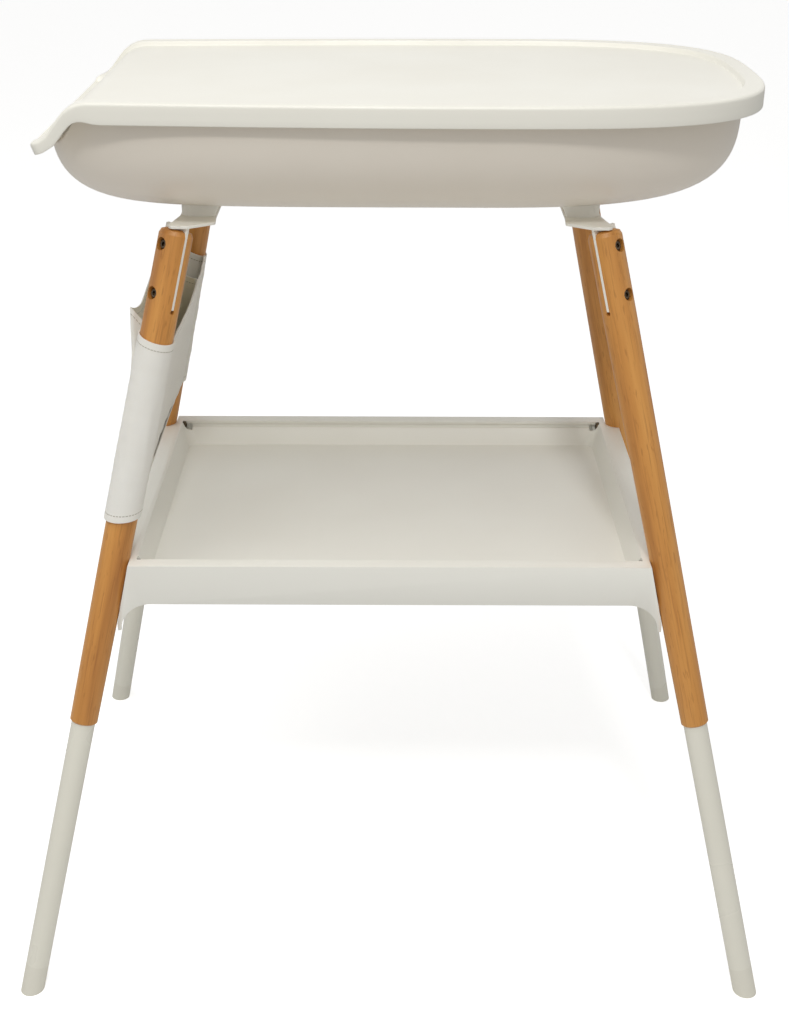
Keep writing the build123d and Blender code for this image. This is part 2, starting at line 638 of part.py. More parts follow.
# Fasteners, each kind in one node
bolts = []
nuts = []
for corner in CORNERS:
    place = leg_frame(*corner)
    for s in BOLT_HEIGHTS:
        head_first = bolt_x(-1, BOLT_R, BOLT_SEAT_X + BOLT_END_X, BOLT_HEAD_R, BOLT_HEAD_H)
        bolts.append(place * (Pos(BOLT_SEAT_X, 0, s) * head_first))
        ring = peg(NUT_R, (-NUT_OUT_X, 0, s), (-SLOT_W / 2, 0, s), HEX_SIDES)
        nuts.append(place * (ring - peg(BOLT_R + RUN_GAP, (-FAR, 0, s), (FAR, 0, s))))
save("leg_bolts", Compound(children=bolts))
save("leg_nuts", Compound(children=nuts))

tub_screws = []
for sx, sy in CORNERS:
    low = Vector(sx * SADDLE_X, sy * BOSS_Y, PLATE_LOW_Z)
    head = peg(BOSS_SCREW_R * 2, low - Vector(0, 0, SCREW_HEAD_H * 2), low, HEAD_SIDES)
    tub_screws.append(head + peg(BOSS_SCREW_R, low, low + Vector(0, 0, BOSS_SCREW_LEN)))
save("bracket_screws", Compound(children=tub_screws))


def y_screws(places, face_y):
    """Screws with their heads on the plane Y = face_y and their tips towards the front."""
    group = []
    for x, z in places:
        head = peg(SCREW_HEAD_R, (x, face_y, z), (x, face_y + SCREW_HEAD_H, z), HEAD_SIDES)
        group.append(head + peg(SCREW_R, (x, face_y - LEAF_T - SCREW_LEN, z), (x, face_y, z)))
    return Compound(children=group)


def knuckle(x_low, x_high, web):
    """Part of a hinge barrel with the web that carries it, bored for the pin."""
    low, high = Vector(x_low, HINGE_Y, HINGE_Z), Vector(x_high, HINGE_Y, HINGE_Z)
    past = Vector(OVERRUN, 0, 0)
    return rod(KNUCKLE_R, low, high) + web - rod(PIN_R + RUN_GAP, low - past, high + past)


def top_leaf(x):
    """Leaf on the changing top with the two outer knuckles."""
    leaf = block((x - LEAF_HALF, TOP_PAD_Y, TOP_LEAF_LOW),
                 (x + LEAF_HALF, TOP_PAD_Y + LEAF_T, TOP_LEAF_HIGH))
    near = MID_KNUCKLE_HALF + FREE_GAP
    for low, high in ((x - LEAF_HALF, x - near), (x + near, x + LEAF_HALF)):
        web = block((low, TOP_PAD_Y + LEAF_T, HINGE_Z), (high, HINGE_Y, HINGE_Z + LEAF_WEB_T))
        leaf += knuckle(low, high, web)
    for dx in (-TOP_SCREW_X, TOP_SCREW_X):
        mouth = (x + dx, TOP_PAD_Y, TOP_SCREW_Z)
        leaf -= peg(SCREW_R + FREE_GAP, mouth, (x + dx, TOP_PAD_Y + OVERRUN, TOP_SCREW_Z))
    return leaf


def tub_leaf(x):
    """Leaf on the tub with an arm under the skirt and the middle knuckle."""
    leaf = block((x - TUB_PAD_HALF, TUB_PAD_Y, TUB_LEAF_LOW),
                 (x + TUB_PAD_HALF, TUB_PAD_Y + LEAF_T, TUB_LEAF_HIGH))
    arm_low = TUB_LEAF_HIGH - LEAF_WEB_T
    low, high = x - MID_KNUCKLE_HALF, x + MID_KNUCKLE_HALF
    arm = block((low, TUB_PAD_Y, arm_low), (high, HINGE_Y + LEAF_WEB_T / 2, TUB_LEAF_HIGH))
    web = block((low, HINGE_Y - LEAF_WEB_T / 2, arm_low), (high, HINGE_Y + LEAF_WEB_T / 2, HINGE_Z))
    leaf += arm + knuckle(low, high, web)
    for dx in (-TUB_SCREW_X, TUB_SCREW_X):
        mouth = (x + dx, TUB_PAD_Y, TUB_SCREW_Z)
        leaf -= peg(SCREW_R + FREE_GAP, mouth, (x + dx, TUB_PAD_Y + OVERRUN, TUB_SCREW_Z))
    return leaf


hinge_sides = {"left": -HINGE_X, "right": HINGE_X}
for side_name, x in hinge_sides.items():
    save(f"hinge_top_leaf_{side_name}", top_leaf(x))
    save(f"hinge_tub_leaf_{side_name}", tub_leaf(x))
    pin = rod(PIN_R, (x - PIN_LEN / 2, HINGE_Y, HINGE_Z), (x + PIN_LEN / 2, HINGE_Y, HINGE_Z))
    save(f"hinge_pin_{side_name}", pin)
top_places = [(x + dx, TOP_SCREW_Z) for x in hinge_sides.values() for dx in (-TOP_SCREW_X, TOP_SCREW_X)]
tub_places = [(x + dx, TUB_SCREW_Z) for x in hinge_sides.values() for dx in (-TUB_SCREW_X, TUB_SCREW_X)]
save("hinge_top_screws", y_screws(top_places, TOP_PAD_Y + LEAF_T))
save("hinge_tub_screws", y_screws(tub_places, TUB_PAD_Y + LEAF_T))

# Rubber stops on the tub's rim that the closed top rests on
STOP_R = 3.6
STOP_INSET = (SKIRT_T + RIM_WALL_INSET) / 2
STOP_LEFT_X = -210.0
STOP_RIGHT_X = 60.0
stop_top = TOP_Z - SHEET_T - SEAT_GAP
bow_r = (ROUND_CENTRE_X - LIP_END_X) ** 2 / (2 * SIDE_BOW_DROP)
stops = []
for x in (STOP_LEFT_X, STOP_RIGHT_X):
    y = TOP_HALF_Y - STOP_INSET - bow_r + math.sqrt(bow_r**2 - (ROUND_CENTRE_X - x) ** 2)
    for sy in (-1, 1):
        stops.append(peg(STOP_R, (x, sy * y, TUB_RIM_Z), (x, sy * y, stop_top)))
end_x = TOP_RIGHT_X - STOP_INSET
stops.append(peg(STOP_R, (end_x, 0, TUB_RIM_Z), (end_x, 0, stop_top)))
save("top_stops", Compound(children=stops))

# Shelf: a moulded tray with a rim, a sunk floor, a deep skirt and ears that follow the legs
SHELF_SIDE_RIM = 23.0
SHELF_FRONT_RIM = 16.0
SHELF_FLOOR_DEPTH = 29.0
SHELF_WALL_SLOPE = 8.5
SHELF_T = 3.5
SHELF_CORNER_R = 12.0
EAR_DEPTH = 32.0
EAR_W = 3.5
EAR_ARC_R = 34.0
LEG_GAP = 0.4
SHELF_RIB_T = 2.5
SHELF_RIB_DEPTH = 4.0
SHELF_RIB_X_SHARES = [-0.5, 0.0, 0.5]
SHELF_RIB_Y_SHARES = [0.0]
CORNER_BOSS_X = 30.0
CORNER_BOSS_Y = 36.0
POCKET_R = 6.5
POCKET_LEN = 12.0
SHELF_LOW_Z = SHELF_TOP_Z - SHELF_SKIRT_H
SHELF_SEAT_X = SHELF_HALF_X - SHELF_SIDE_RIM


def eared(half, z_low):
    """Outline in X and Z of the skirt, with a concave run down to an ear at each end."""
    tip = half - EAR_W
    ear_z = z_low - EAR_DEPTH
    arc_x = tip - EAR_ARC_R
    turn = math.radians(45)
    mid_x = arc_x + EAR_ARC_R * math.sin(turn)
    mid_z = z_low - EAR_DEPTH * (1 - math.cos(turn))
    quarter = [Line((0, 0, z_low), (arc_x, 0, z_low)),
               ThreePointArc((arc_x, 0, z_low), (mid_x, 0, mid_z), (tip, 0, ear_z)),
               Line((tip, 0, ear_z), (half, 0, ear_z)), Line((half, 0, ear_z), (half, 0, SHELF_TOP_Z)),
               Line((half, 0, SHELF_TOP_Z), (0, 0, SHELF_TOP_Z)), Line((0, 0, SHELF_TOP_Z), (0, 0, z_low))]
    side = make_face(quarter)
    return side + mirror(side, Plane.YZ)


def shelf_recess(grow):
    """Tapered hollow above the floor; grown by the wall it gives the form under the floor."""
    half_x = SHELF_HALF_X - SHELF_SIDE_RIM + grow
    half_y = SHELF_HALF_Y - SHELF_FRONT_RIM + grow
    floor_z = SHELF_TOP_Z - SHELF_FLOOR_DEPTH - grow
    high = Pos(0, 0, SHELF_TOP_Z) * RectangleRounded(half_x * 2, half_y * 2, SHELF_CORNER_R)
    low_x, low_y = half_x - SHELF_WALL_SLOPE, half_y - SHELF_WALL_SLOPE
    low = Pos(0, 0, floor_z) * RectangleRounded(low_x * 2, low_y * 2, SHELF_CORNER_R)
    return loft([low, high])


def leg_space(sx, sy):
    """Space for a leg and for all that lies outside it at a corner of the shelf."""
    near = leg_radius((SHELF_TOP_Z + OVERRUN) * SLANT) + LEG_GAP
    cone = leg_frame(sx, sy) * revolve(make_face(Polyline(
        (0, 0, WOOD_END_S), (LEG_END_R + LEG_GAP, 0, WOOD_END_S), (LEG_TOP_R + LEG_GAP, 0, LEG_TOP_S),
        (0, 0, LEG_TOP_S), close=True)), Axis.Z)
    centre = Vector(sx * FOOT_HALF_X, sy * FOOT_HALF_Y)
    rise = Vector(-sx * LEAN, -sy * LEAN, 1) * TOP_Z
    for a, b in ((near, 0), (0, near)):
        corner = [centre + Vector(-sx * a, -sy * b), centre + Vector(sx * FAR, -sy * b),
                  centre + Vector(sx * FAR, sy * FAR), centre + Vector(-sx * a, sy * FAR)]
        cone += extrude(make_face(Polyline(*corner, close=True)), rise.length, dir=rise)
    return cone


def shelf():
    """Moulded shelf with its recess, its hollow underside with ribs, and its four leg corners."""
    body = slab_y(eared(SHELF_HALF_X, SHELF_LOW_Z), SHELF_HALF_Y)
    turned = Rot(0, 0, 90) * slab_y(eared(SHELF_HALF_Y, SHELF_LOW_Z), SHELF_HALF_X)
    body &= turned
    rim_under = SHELF_TOP_Z - SHELF_T
    hollow = block((-SHELF_HALF_X + SHELF_T, -SHELF_HALF_Y + SHELF_T, SHELF_LOW_Z - FAR),
                   (SHELF_HALF_X - SHELF_T, SHELF_HALF_Y - SHELF_T, rim_under))
    hollow -= shelf_recess(SHELF_T)
    rib_z = SHELF_TOP_Z - SHELF_FLOOR_DEPTH - SHELF_T - SHELF_RIB_DEPTH
    for x in [share * SHELF_HALF_X for share in SHELF_RIB_X_SHARES]:
        hollow -= block((x - SHELF_RIB_T / 2, -FAR, rib_z), (x + SHELF_RIB_T / 2, FAR, SHELF_TOP_Z))
    for y in [share * SHELF_HALF_Y for share in SHELF_RIB_Y_SHARES]:
        hollow -= block((-FAR, y - SHELF_RIB_T / 2, rib_z), (FAR, y + SHELF_RIB_T / 2, SHELF_TOP_Z))
    for sx, sy in CORNERS:
        near_x, near_y = SHELF_HALF_X - CORNER_BOSS_X, SHELF_HALF_Y - CORNER_BOSS_Y
        boss = block((near_x, near_y, SHELF_LOW_Z), (FAR, FAR, SHELF_TOP_Z))
        boss = mirror(boss, Plane.YZ) if sx < 0 else boss
        hollow -= mirror(boss, Plane.XZ) if sy < 0 else boss
    body -= hollow
    body -= shelf_recess(0)
    for sx, sy in CORNERS:
        body -= leg_space(sx, sy)
        axis = leg_centre(sx, sy, SHELF_BOLT_Z)
        seat_x = sx * SHELF_SEAT_X
        body -= peg(SHELF_BOLT_R + FREE_GAP, (0, axis.Y, SHELF_BOLT_Z), (sx * FAR, axis.Y, SHELF_BOLT_Z))
        pocket_end = seat_x - sx * POCKET_LEN
        seat, end = Vector(seat_x, axis.Y, SHELF_BOLT_Z), Vector(pocket_end, axis.Y, SHELF_BOLT_Z)
        body -= peg(POCKET_R, seat, end, HEAD_SIDES)
        body -= block((min(seat_x, pocket_end), axis.Y - POCKET_R, SHELF_BOLT_Z),
                      (max(seat_x, pocket_end), axis.Y + POCKET_R, ABOVE))
    return body


save("shelf", shelf())
shelf_bolts = []
inserts = []
for sx, sy in CORNERS:
    axis = leg_centre(sx, sy, SHELF_BOLT_Z)
    reach = abs(axis.X) - SHELF_SEAT_X - FREE_GAP
    shape = bolt_x(sx, SHELF_BOLT_R, reach, SHELF_HEAD_R, SHELF_HEAD_H)
    shelf_bolts.append(Pos(sx * SHELF_SEAT_X, axis.Y, axis.Z) * shape)
    inner = axis - Vector(sx * INSERT_LEN, 0, 0)
    past = Vector(sx * OVERRUN, 0, 0)
    inserts.append(peg(INSERT_R, inner, axis) - peg(SHELF_BOLT_R + RUN_GAP, inner - past, axis + past))
save("shelf_bolts", Compound(children=shelf_bolts))
save("shelf_inserts", Compound(children=inserts))

# Cloth pouch between the two left legs: two sleeves round the legs, an inner panel and a bag
CLOTH_T = 1.5
CLOTH_GAP = 0.3
FRONT_SLEEVE = {"low_z": 533.0, "outer_z": 728.0, "inner_z": 711.0}
REAR_SLEEVE = {"low_z": 551.0, "outer_z": 738.0, "inner_z": 722.0}
PANEL_OUT = 15.5
BAG_LOW_Z = 548.0
BAG_HIGH_Z = 735.0
BAG_MID_Z = 708.0
BAG_LOW_OUT = 4.0
BAG_HIGH_OUT = 32.0
BAG_ROW_SHARES = [0.0, 0.25, 0.5, 0.75, 1.0]
BAG_OUT_SHARES = [0.0, 0.25, 0.46, 0.68, 1.0]
BAG_BEVEL = 4.0
BAG_LEG_GAP = 0.6
STUD_R = 4.0
STUD_SHANK_R = 1.5
STUD_T = 1.8
STUD_Z = 700.0
STUD_FROM_EDGE = 10.0
SLEEVE_BORE_R = leg_radius(REAR_SLEEVE["outer_z"] * SLANT) + CLOTH_GAP
SLEEVE_R = SLEEVE_BORE_R + CLOTH_T


def beside_leg(sy, radius):
    """Round bar along the wood of a left leg."""
    return leg_frame(-1, sy) * extrude(Pos(0, 0, WOOD_END_S) * Circle(radius), LEG_TOP_S - WOOD_END_S)


def sleeve(sy, low_z, outer_z, inner_z):
    """Cloth tube round a left leg, its top cut on a slant."""
    tube = beside_leg(sy, SLEEVE_R) - beside_leg(sy, SLEEVE_BORE_R)
    mid_z = (outer_z + inner_z) / 2
    mid = leg_centre(-1, sy, mid_z)
    drop = FAR * (inner_z - outer_z) / (LEG_TOP_R * 2)
    near_x, far_x = mid.X - FAR, mid.X + FAR
    cut = [(near_x, mid_z - drop), (far_x, mid_z + drop), (far_x, TOP_Z + FAR), (near_x, TOP_Z + FAR)]
    tube -= slab_y(make_face(Polyline(*[(x, 0, z) for x, z in cut], close=True)), FAR)
    return tube - block((-FAR, -FAR, 0), (FAR, FAR, low_z))


def plane_x(z, off):
    """X of a plane beside the two left legs' axes, off towards the middle."""
    return -(FOOT_HALF_X - LEAN * z) + off


def inner_panel():
    """Flat cloth on the inner side of the two sleeves."""
    corners = []
    for sy, place in ((-1, FRONT_SLEEVE), (1, REAR_SLEEVE)):
        for z in (place["low_z"], place["inner_z"]):
            corners.append(Vector(plane_x(z, PANEL_OUT), sy * (FOOT_HALF_Y - LEAN * z), z))
    front_low, front_high, rear_low, rear_high = corners
    sheet = make_face(Polyline(front_low, front_high, rear_high, rear_low, close=True))
    panel = extrude(sheet, CLOTH_T, dir=(1, 0, 0))
    for sy in (-1, 1):
        panel -= beside_leg(sy, SLEEVE_R + CLOTH_GAP)
    return panel.solids().sort_by(SortBy.VOLUME)[-1]


def gusset_y(z):
    """Distance of a gusset of the bag from the middle, just clear of the sleeve beside it."""
    return FOOT_HALF_Y - LEAN * z - (SLEEVE_R + BAG_LEG_GAP) * math.hypot(1, LEAN)


def bag_out(share):
    """How far the bag stands out from the plane of the legs at a share of its height."""
    for i in range(1, len(BAG_ROW_SHARES)):
        low, high = BAG_ROW_SHARES[i - 1], BAG_ROW_SHARES[i]
        if share <= high:
            step = (share - low) / (high - low)
            rise = BAG_OUT_SHARES[i - 1] + step * (BAG_OUT_SHARES[i] - BAG_OUT_SHARES[i - 1])
            return BAG_LOW_OUT + rise * (BAG_HIGH_OUT - BAG_LOW_OUT)
    return BAG_HIGH_OUT


def bag_row(inset, z, out):
    """Level outline of the bag: straight sides with bevelled corners."""
    near, far = plane_x(z, PANEL_OUT - CLOTH_GAP - inset), plane_x(z, -out + inset)
    sheet = Pos((near + far) / 2, 0, z) * Rectangle(near - far, (gusset_y(z) - inset) * 2)
    return chamfer(sheet.vertices(), BAG_BEVEL - inset)


def bag_solid(inset, low_z):
    """Form of the bag between the legs, drawn in by inset."""
    rows = [(low_z + (BAG_HIGH_Z + inset - low_z) * share, bag_out(share)) for share in BAG_ROW_SHARES]
    return loft([bag_row(inset, z, out) for z, out in rows], ruled=True)


def bag():
    """Cloth bag open at the top, its rim sagging to the middle, with a hole for each stud."""
    body = bag_solid(0, BAG_LOW_Z) - bag_solid(CLOTH_T, BAG_LOW_Z + CLOTH_T)
    half_y = FOOT_HALF_Y - LEAN * BAG_HIGH_Z
    sag = BAG_HIGH_Z - BAG_MID_Z
    sag_r = (half_y**2 + sag**2) / (2 * sag)
    body -= rod(sag_r, (-FAR, 0, BAG_MID_Z + sag_r), (0, 0, BAG_MID_Z + sag_r))
    for sy in (-1, 1):
        place, out = stud_place(sy)
        body -= peg(STUD_SHANK_R + FREE_GAP, place - out * OVERRUN, place + out * OVERRUN)
    return body


def stud_place(sy):
    """Point of a stud on a gusset's outer face, and the direction out of that face."""
    far = plane_x(STUD_Z, -bag_out((STUD_Z - BAG_LOW_Z) / (BAG_HIGH_Z - BAG_LOW_Z)))
    return Vector(far + STUD_FROM_EDGE, sy * gusset_y(STUD_Z), STUD_Z), Vector(0, sy, LEAN).normalized()


def stud(sy):
    """Press stud through a gusset of the bag."""
    place, out = stud_place(sy)
    face = place + out * FREE_GAP
    back = place - out * (CLOTH_T + FREE_GAP)
    shape = peg(STUD_R, face, face + out * STUD_T, HEAD_SIDES)
    shape += peg(STUD_R, back - out * STUD_T, back, HEAD_SIDES)
    return shape + peg(STUD_SHANK_R, back, face)


save("pouch_sleeve_front", sleeve(-1, **FRONT_SLEEVE))
save("pouch_sleeve_rear", sleeve(1, **REAR_SLEEVE))
save("pouch_panel", inner_panel())
save("pouch_bag", bag())
save("pouch_studs", Compound(children=[stud(-1), stud(1)]))
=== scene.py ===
# %% [markdown]
# # A changing table with a bath
# The real thing is a moulded tray that lies as a lid on a deep baby bath. Two end brackets carry the
# bath on four splayed legs, wood above and painted tube below, with a shelf and a cloth pouch between
# them. The construction is loaded as a fixed frame in metres, and every surface made here is laid on it.

# %% Load the frame
import math

import bmesh
import bpy
import numpy as np
from mathutils import Matrix, Vector


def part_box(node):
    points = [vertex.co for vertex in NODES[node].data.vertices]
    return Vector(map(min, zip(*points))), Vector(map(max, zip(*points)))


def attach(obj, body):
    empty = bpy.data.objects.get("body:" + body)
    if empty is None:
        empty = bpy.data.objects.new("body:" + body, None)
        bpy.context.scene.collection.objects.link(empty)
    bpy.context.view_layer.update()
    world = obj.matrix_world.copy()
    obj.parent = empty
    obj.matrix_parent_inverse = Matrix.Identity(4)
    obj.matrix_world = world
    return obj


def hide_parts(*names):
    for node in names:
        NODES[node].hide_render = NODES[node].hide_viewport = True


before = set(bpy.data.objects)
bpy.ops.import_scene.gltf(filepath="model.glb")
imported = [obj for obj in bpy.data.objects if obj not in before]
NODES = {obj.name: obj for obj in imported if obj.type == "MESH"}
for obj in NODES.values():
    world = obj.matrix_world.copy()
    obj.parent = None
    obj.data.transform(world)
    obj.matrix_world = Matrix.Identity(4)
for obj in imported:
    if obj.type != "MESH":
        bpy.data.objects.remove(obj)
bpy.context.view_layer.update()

MM = 0.001
WELD = 0.02 * MM
UP = np.array([0.0, 0.0, 1.0])

# %% [markdown]
# ## Surfaces from formulas
# Each new piece is a grid of points worked out as whole arrays. A grid becomes quads between
# neighbouring rows and columns; a column count that wraps closes a ring. Several grids that share
# their border points are welded into one closed skin, small holes are filled, and the faces are then
# turned outwards.

# %% Grid helpers


def grid_quads(rows, cols, wrap, start=0):
    """Corner numbers of the quads of a grid: point (i, j) has the number start + i * cols + j."""
    i, j = np.meshgrid(np.arange(rows - 1), np.arange(cols if wrap else cols - 1), indexing="ij")
    after = (j + 1) % cols
    corners = [i * cols + j, i * cols + after, (i + 1) * cols + after, (i + 1) * cols + j]
    return np.stack([c.ravel() for c in corners], axis=1) + start


def placed(name, data):
    """New object of the scene for a mesh, a lamp or a camera."""
    made = bpy.data.objects.new(name, data)
    bpy.context.scene.collection.objects.link(made)
    return made


def cleaned(mesh, fill=False):
    """Weld doubled points, drop slivers and turn the faces outwards; gives the number of open edges."""
    bm = bmesh.new()
    bm.from_mesh(mesh)
    bmesh.ops.remove_doubles(bm, verts=bm.verts, dist=WELD)
    bmesh.ops.dissolve_degenerate(bm, edges=bm.edges, dist=WELD / 2)
    if fill:
        bmesh.ops.holes_fill(bm, edges=[edge for edge in bm.edges if edge.is_boundary], sides=12)
    bmesh.ops.recalc_face_normals(bm, faces=bm.faces)
    open_edges = sum(1 for edge in bm.edges if edge.is_boundary)
    bm.to_mesh(mesh)
    bm.free()
    return open_edges


def skin(name, grids, smooth=40.0):
    """One mesh object from grids of rings (rows, columns, 3), welded, closed and facing outwards."""
    points, quads, total = [], [], 0
    for grid in grids:
        rows, cols = grid.shape[:2]
        points.append(grid.reshape(-1, 3))
        quads.append(grid_quads(rows, cols, True, total))
        total += rows * cols
    mesh = bpy.data.meshes.new(name)
    mesh.from_pydata(np.concatenate(points).tolist(), [], np.concatenate(quads).tolist())
    open_edges = cleaned(mesh, fill=True)
    piece = placed(name, mesh)
    shade(piece, smooth)
    print(name, len(mesh.polygons), "faces", open_edges, "open edges")
    return piece


def rounded_loop(near, far, half, radius, per_side, per_corner):
    """Closed rectangle with rounded corners, from the rear end of its near side round to itself."""
    middle, reach = (near + far) / 2, (near - far) / 2
    turn = np.linspace(0, math.pi / 2, per_corner)
    arcs = []
    for k, (a, b) in enumerate(((1, 1), (-1, 1), (-1, -1), (1, -1))):
        angle = turn + k * math.pi / 2
        arcs.append(np.stack([middle + a * (reach - radius) + radius * np.cos(angle),
                              b * (half - radius) + radius * np.sin(angle)], axis=-1))
    share = np.linspace(0, 1, per_side)[1:-1, None]
    parts = []
    for k in range(4):
        start, end = arcs[k][-1], arcs[(k + 1) % 4][0]
        parts += [arcs[k], start + (end - start) * share]
    parts.append(arcs[0][:1])
    return np.concatenate(parts)


def slab(low, high, radius):
    """Grid of rings of a block with rounded corners, between its lowest and highest points."""
    low, high = np.array(low), np.array(high)
    middle = (low + high) / 2
    loop = rounded_loop(high[0], low[0], high[1] - middle[1], radius, 3, 4)[:-1]
    inner = 1 - radius / 2 / (high - low)[:2].max()
    rows = []
    for k, z in ((0, low[2]), (inner, low[2]), (1, low[2] + radius / 2), (1, high[2] - radius / 2),
                 (inner, high[2]), (0, high[2])):
        place = np.stack([middle[0] + (loop[:, 0] - middle[0]) * k, middle[1] + loop[:, 1] * k], axis=-1)
        rows.append(np.concatenate([place, np.full((len(loop), 1), z)], axis=1))
    return np.stack(rows)


def shade(piece, angle):
    """Smooth shading with edges sharper than angle degrees kept crisp."""
    mesh = piece.data
    mesh.polygons.foreach_set("use_smooth", np.ones(len(mesh.polygons), bool))
    bm = bmesh.new()
    bm.from_mesh(mesh)
    limit = math.radians(angle)
    for edge in bm.edges:
        edge.smooth = len(edge.link_faces) != 2 or edge.calc_face_angle(0) < limit
    bm.to_mesh(mesh)
    bm.free()


def softened(node, width):
    """A copy of a construction piece whose edges are rounded, standing for that piece."""
    mesh = NODES[node].data.copy()
    mesh.name = node + "_soft"
    bm = bmesh.new()
    bm.from_mesh(mesh)
    bmesh.ops.remove_doubles(bm, verts=bm.verts, dist=0.01 * MM)
    bmesh.ops.dissolve_limit(bm, angle_limit=math.radians(1.0), verts=bm.verts, edges=bm.edges)
    bm.to_mesh(mesh)
    bm.free()
    piece = placed(node + "_soft", mesh)
    bevel = piece.modifiers.new("rounding", "BEVEL")
    bevel.width = width
    bevel.segments = 2
    bevel.limit_method = "ANGLE"
    bevel.angle_limit = math.radians(35.0)
    bevel.use_clamp_overlap = True
    bevel.harden_normals = True
    mesh.materials.clear()
    mesh.polygons.foreach_set("use_smooth", np.ones(len(mesh.polygons), bool))
    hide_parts(node)
    return piece


# %% [markdown]
# ## Finishes
# Moulded plastic, powder coat, lacquered beech, canvas and steel. Each is a Principled shader whose
# colour, roughness and bump come from noise at the real scale. One effect serves many finishes, so
# it is a node group, built once: a faint mottle for moulded, coated and metal surfaces.

# %% Node helpers


def srgb(r, g, b):
    """Linear colour of an 8-bit display colour."""
    c = np.array([r, g, b]) / 255.0
    return (*np.where(c <= 0.04045, c / 12.92, ((c + 0.055) / 1.055) ** 2.4), 1.0)


def new_group(name, inputs, outputs):
    """Empty shader group with named sockets."""
    group = bpy.data.node_groups.new(name, "ShaderNodeTree")
    for label, kind, value in inputs:
        socket = group.interface.new_socket(name=label, in_out="INPUT", socket_type=kind)
        socket.default_value = value
    for label, kind in outputs:
        group.interface.new_socket(name=label, in_out="OUTPUT", socket_type=kind)
    return group, group.nodes.new("NodeGroupInput"), group.nodes.new("NodeGroupOutput")


def give(socket, value):
    """Give an input its value, or the link that brings it."""
    if isinstance(value, bpy.types.NodeSocket):
        socket.id_data.links.new(value, socket)
    else:
        socket.default_value = value


def feed(made, **values):
    """Give a node's inputs by their names; _ stands for a space."""
    for key, value in values.items():
        give(made.inputs[key.replace("_", " ")], value)


def node(tree, kind, **values):
    """A node with some of its properties and inputs set; a key that starts with in_ is an input."""
    made = tree.nodes.new(kind)
    for key, value in values.items():
        if key.startswith("in_"):
            feed(made, **{key[3:]: value})
        else:
            setattr(made, key, value)
    return made


def maths(tree, operation, *values):
    """Output of a maths node whose inputs are sockets or plain numbers."""
    made = node(tree, "ShaderNodeMath", operation=operation)
    for socket, value in zip(made.inputs, values):
        give(socket, value)
    return made.outputs["Value"]


def remap(tree, value, to_min, to_max, from_min=0.0, from_max=1.0):
    """Output of a node that carries one range of values onto another and stops at its ends."""
    made = node(tree, "ShaderNodeMapRange", in_Value=value, in_From_Min=from_min, in_From_Max=from_max,
                in_To_Min=to_min, in_To_Max=to_max)
    return made.outputs["Result"]


def blend(tree, share, first, second, way="MIX"):
    """Output of a node that mixes two colours, given as sockets or values, by a share."""
    made = node(tree, "ShaderNodeMix", data_type="RGBA", blend_type=way, in_Factor=share)
    give(made.inputs[6], first)
    give(made.inputs[7], second)
    return made.outputs[2]


def mottle_group():
    """Two sizes of noise: a slow one that shifts colour and roughness, and a fine one for bump."""
    group, start, end = new_group(
        "Mottle",
        [("Colour", "NodeSocketColor", (0.8, 0.8, 0.8, 1)), ("Second", "NodeSocketColor", (0.7, 0.7, 0.7, 1)),
         ("Grain Size", "NodeSocketFloat", 900.0), ("Grain Depth", "NodeSocketFloat", 0.04),
         ("Roughness", "NodeSocketFloat", 0.4)],
        [("Colour", "NodeSocketColor"), ("Roughness", "NodeSocketFloat"), ("Normal", "NodeSocketVector")])
    given = start.outputs
    place = node(group, "ShaderNodeTexCoord").outputs["Object"]
    slow = node(group, "ShaderNodeTexNoise", in_Scale=9.0, in_Detail=3.0, in_Vector=place).outputs["Fac"]
    fine = node(group, "ShaderNodeTexNoise", in_Scale=given["Grain Size"], in_Detail=2.0, in_Vector=place)
    bump = node(group, "ShaderNodeBump", in_Distance=0.0004, in_Strength=given["Grain Depth"],
                in_Height=fine.outputs["Fac"])
    spread = remap(group, slow, -0.05, 0.05, 0.3, 0.7)
    feed(end, Colour=blend(group, slow, given["Colour"], given["Second"]),
         Roughness=maths(group, "ADD", given["Roughness"], spread), Normal=bump.outputs["Normal"])
    return group


def new_material(name):
    """Material with its Principled shader, ready to wire."""
    material = bpy.data.materials.new(name)
    material.use_nodes = True
    tree = material.node_tree
    return material, tree, tree.nodes["Principled BSDF"]


MOTTLE = mottle_group()


def moulded(name, colour, second, roughness=0.38, grain=900.0, depth=0.05, metallic=0.0, coat=0.0):
    """Moulded or coated surface: the mottle group wired into one shader."""
    material, tree, shader = new_material(name)
    effect = node(tree, "ShaderNodeGroup", node_tree=MOTTLE, in_Colour=colour, in_Second=second,
                  in_Grain_Size=grain, in_Grain_Depth=depth, in_Roughness=roughness).outputs
    feed(shader, Base_Color=effect["Colour"], Roughness=effect["Roughness"], Normal=effect["Normal"],
         Metallic=metallic, Coat_Weight=coat)
    return material


top_plastic = moulded("top plastic", srgb(240, 238, 227), srgb(236, 233, 222), 0.36)
tub_plastic = moulded("bath plastic", srgb(237, 229, 216), srgb(232, 223, 209), 0.34)
shelf_plastic = moulded("shelf plastic", srgb(243, 242, 233), srgb(239, 237, 228), 0.42)
bracket_coat = moulded("bracket coat", srgb(249, 246, 236), srgb(244, 241, 230), 0.32, 600.0, 0.06, 0.0, 0.1)
tube_coat = moulded("tube coat", srgb(236, 233, 219), srgb(231, 228, 214), 0.30, 700.0, 0.08, 0.0, 0.15)
foot_plastic = moulded("foot plastic", srgb(232, 229, 215), srgb(226, 222, 208), 0.5, 800.0, 0.08)
# Bolt heads are brown and dark: a painted reflection of the wood round them and painted shade of their
# counterbores.
bolt_steel_painted_shade = moulded("bolt steel with painted shade", srgb(96, 84, 68), srgb(70, 60, 48), 0.30, 1500.0, 0.05, 1.0)
hinge_steel = moulded("hinge steel", srgb(190, 190, 188), srgb(170, 170, 168), 0.33, 1200.0, 0.05, 1.0)
stud_metal = moulded("stud metal", srgb(170, 166, 158), srgb(140, 136, 130), 0.3, 1500.0, 0.04, 1.0)
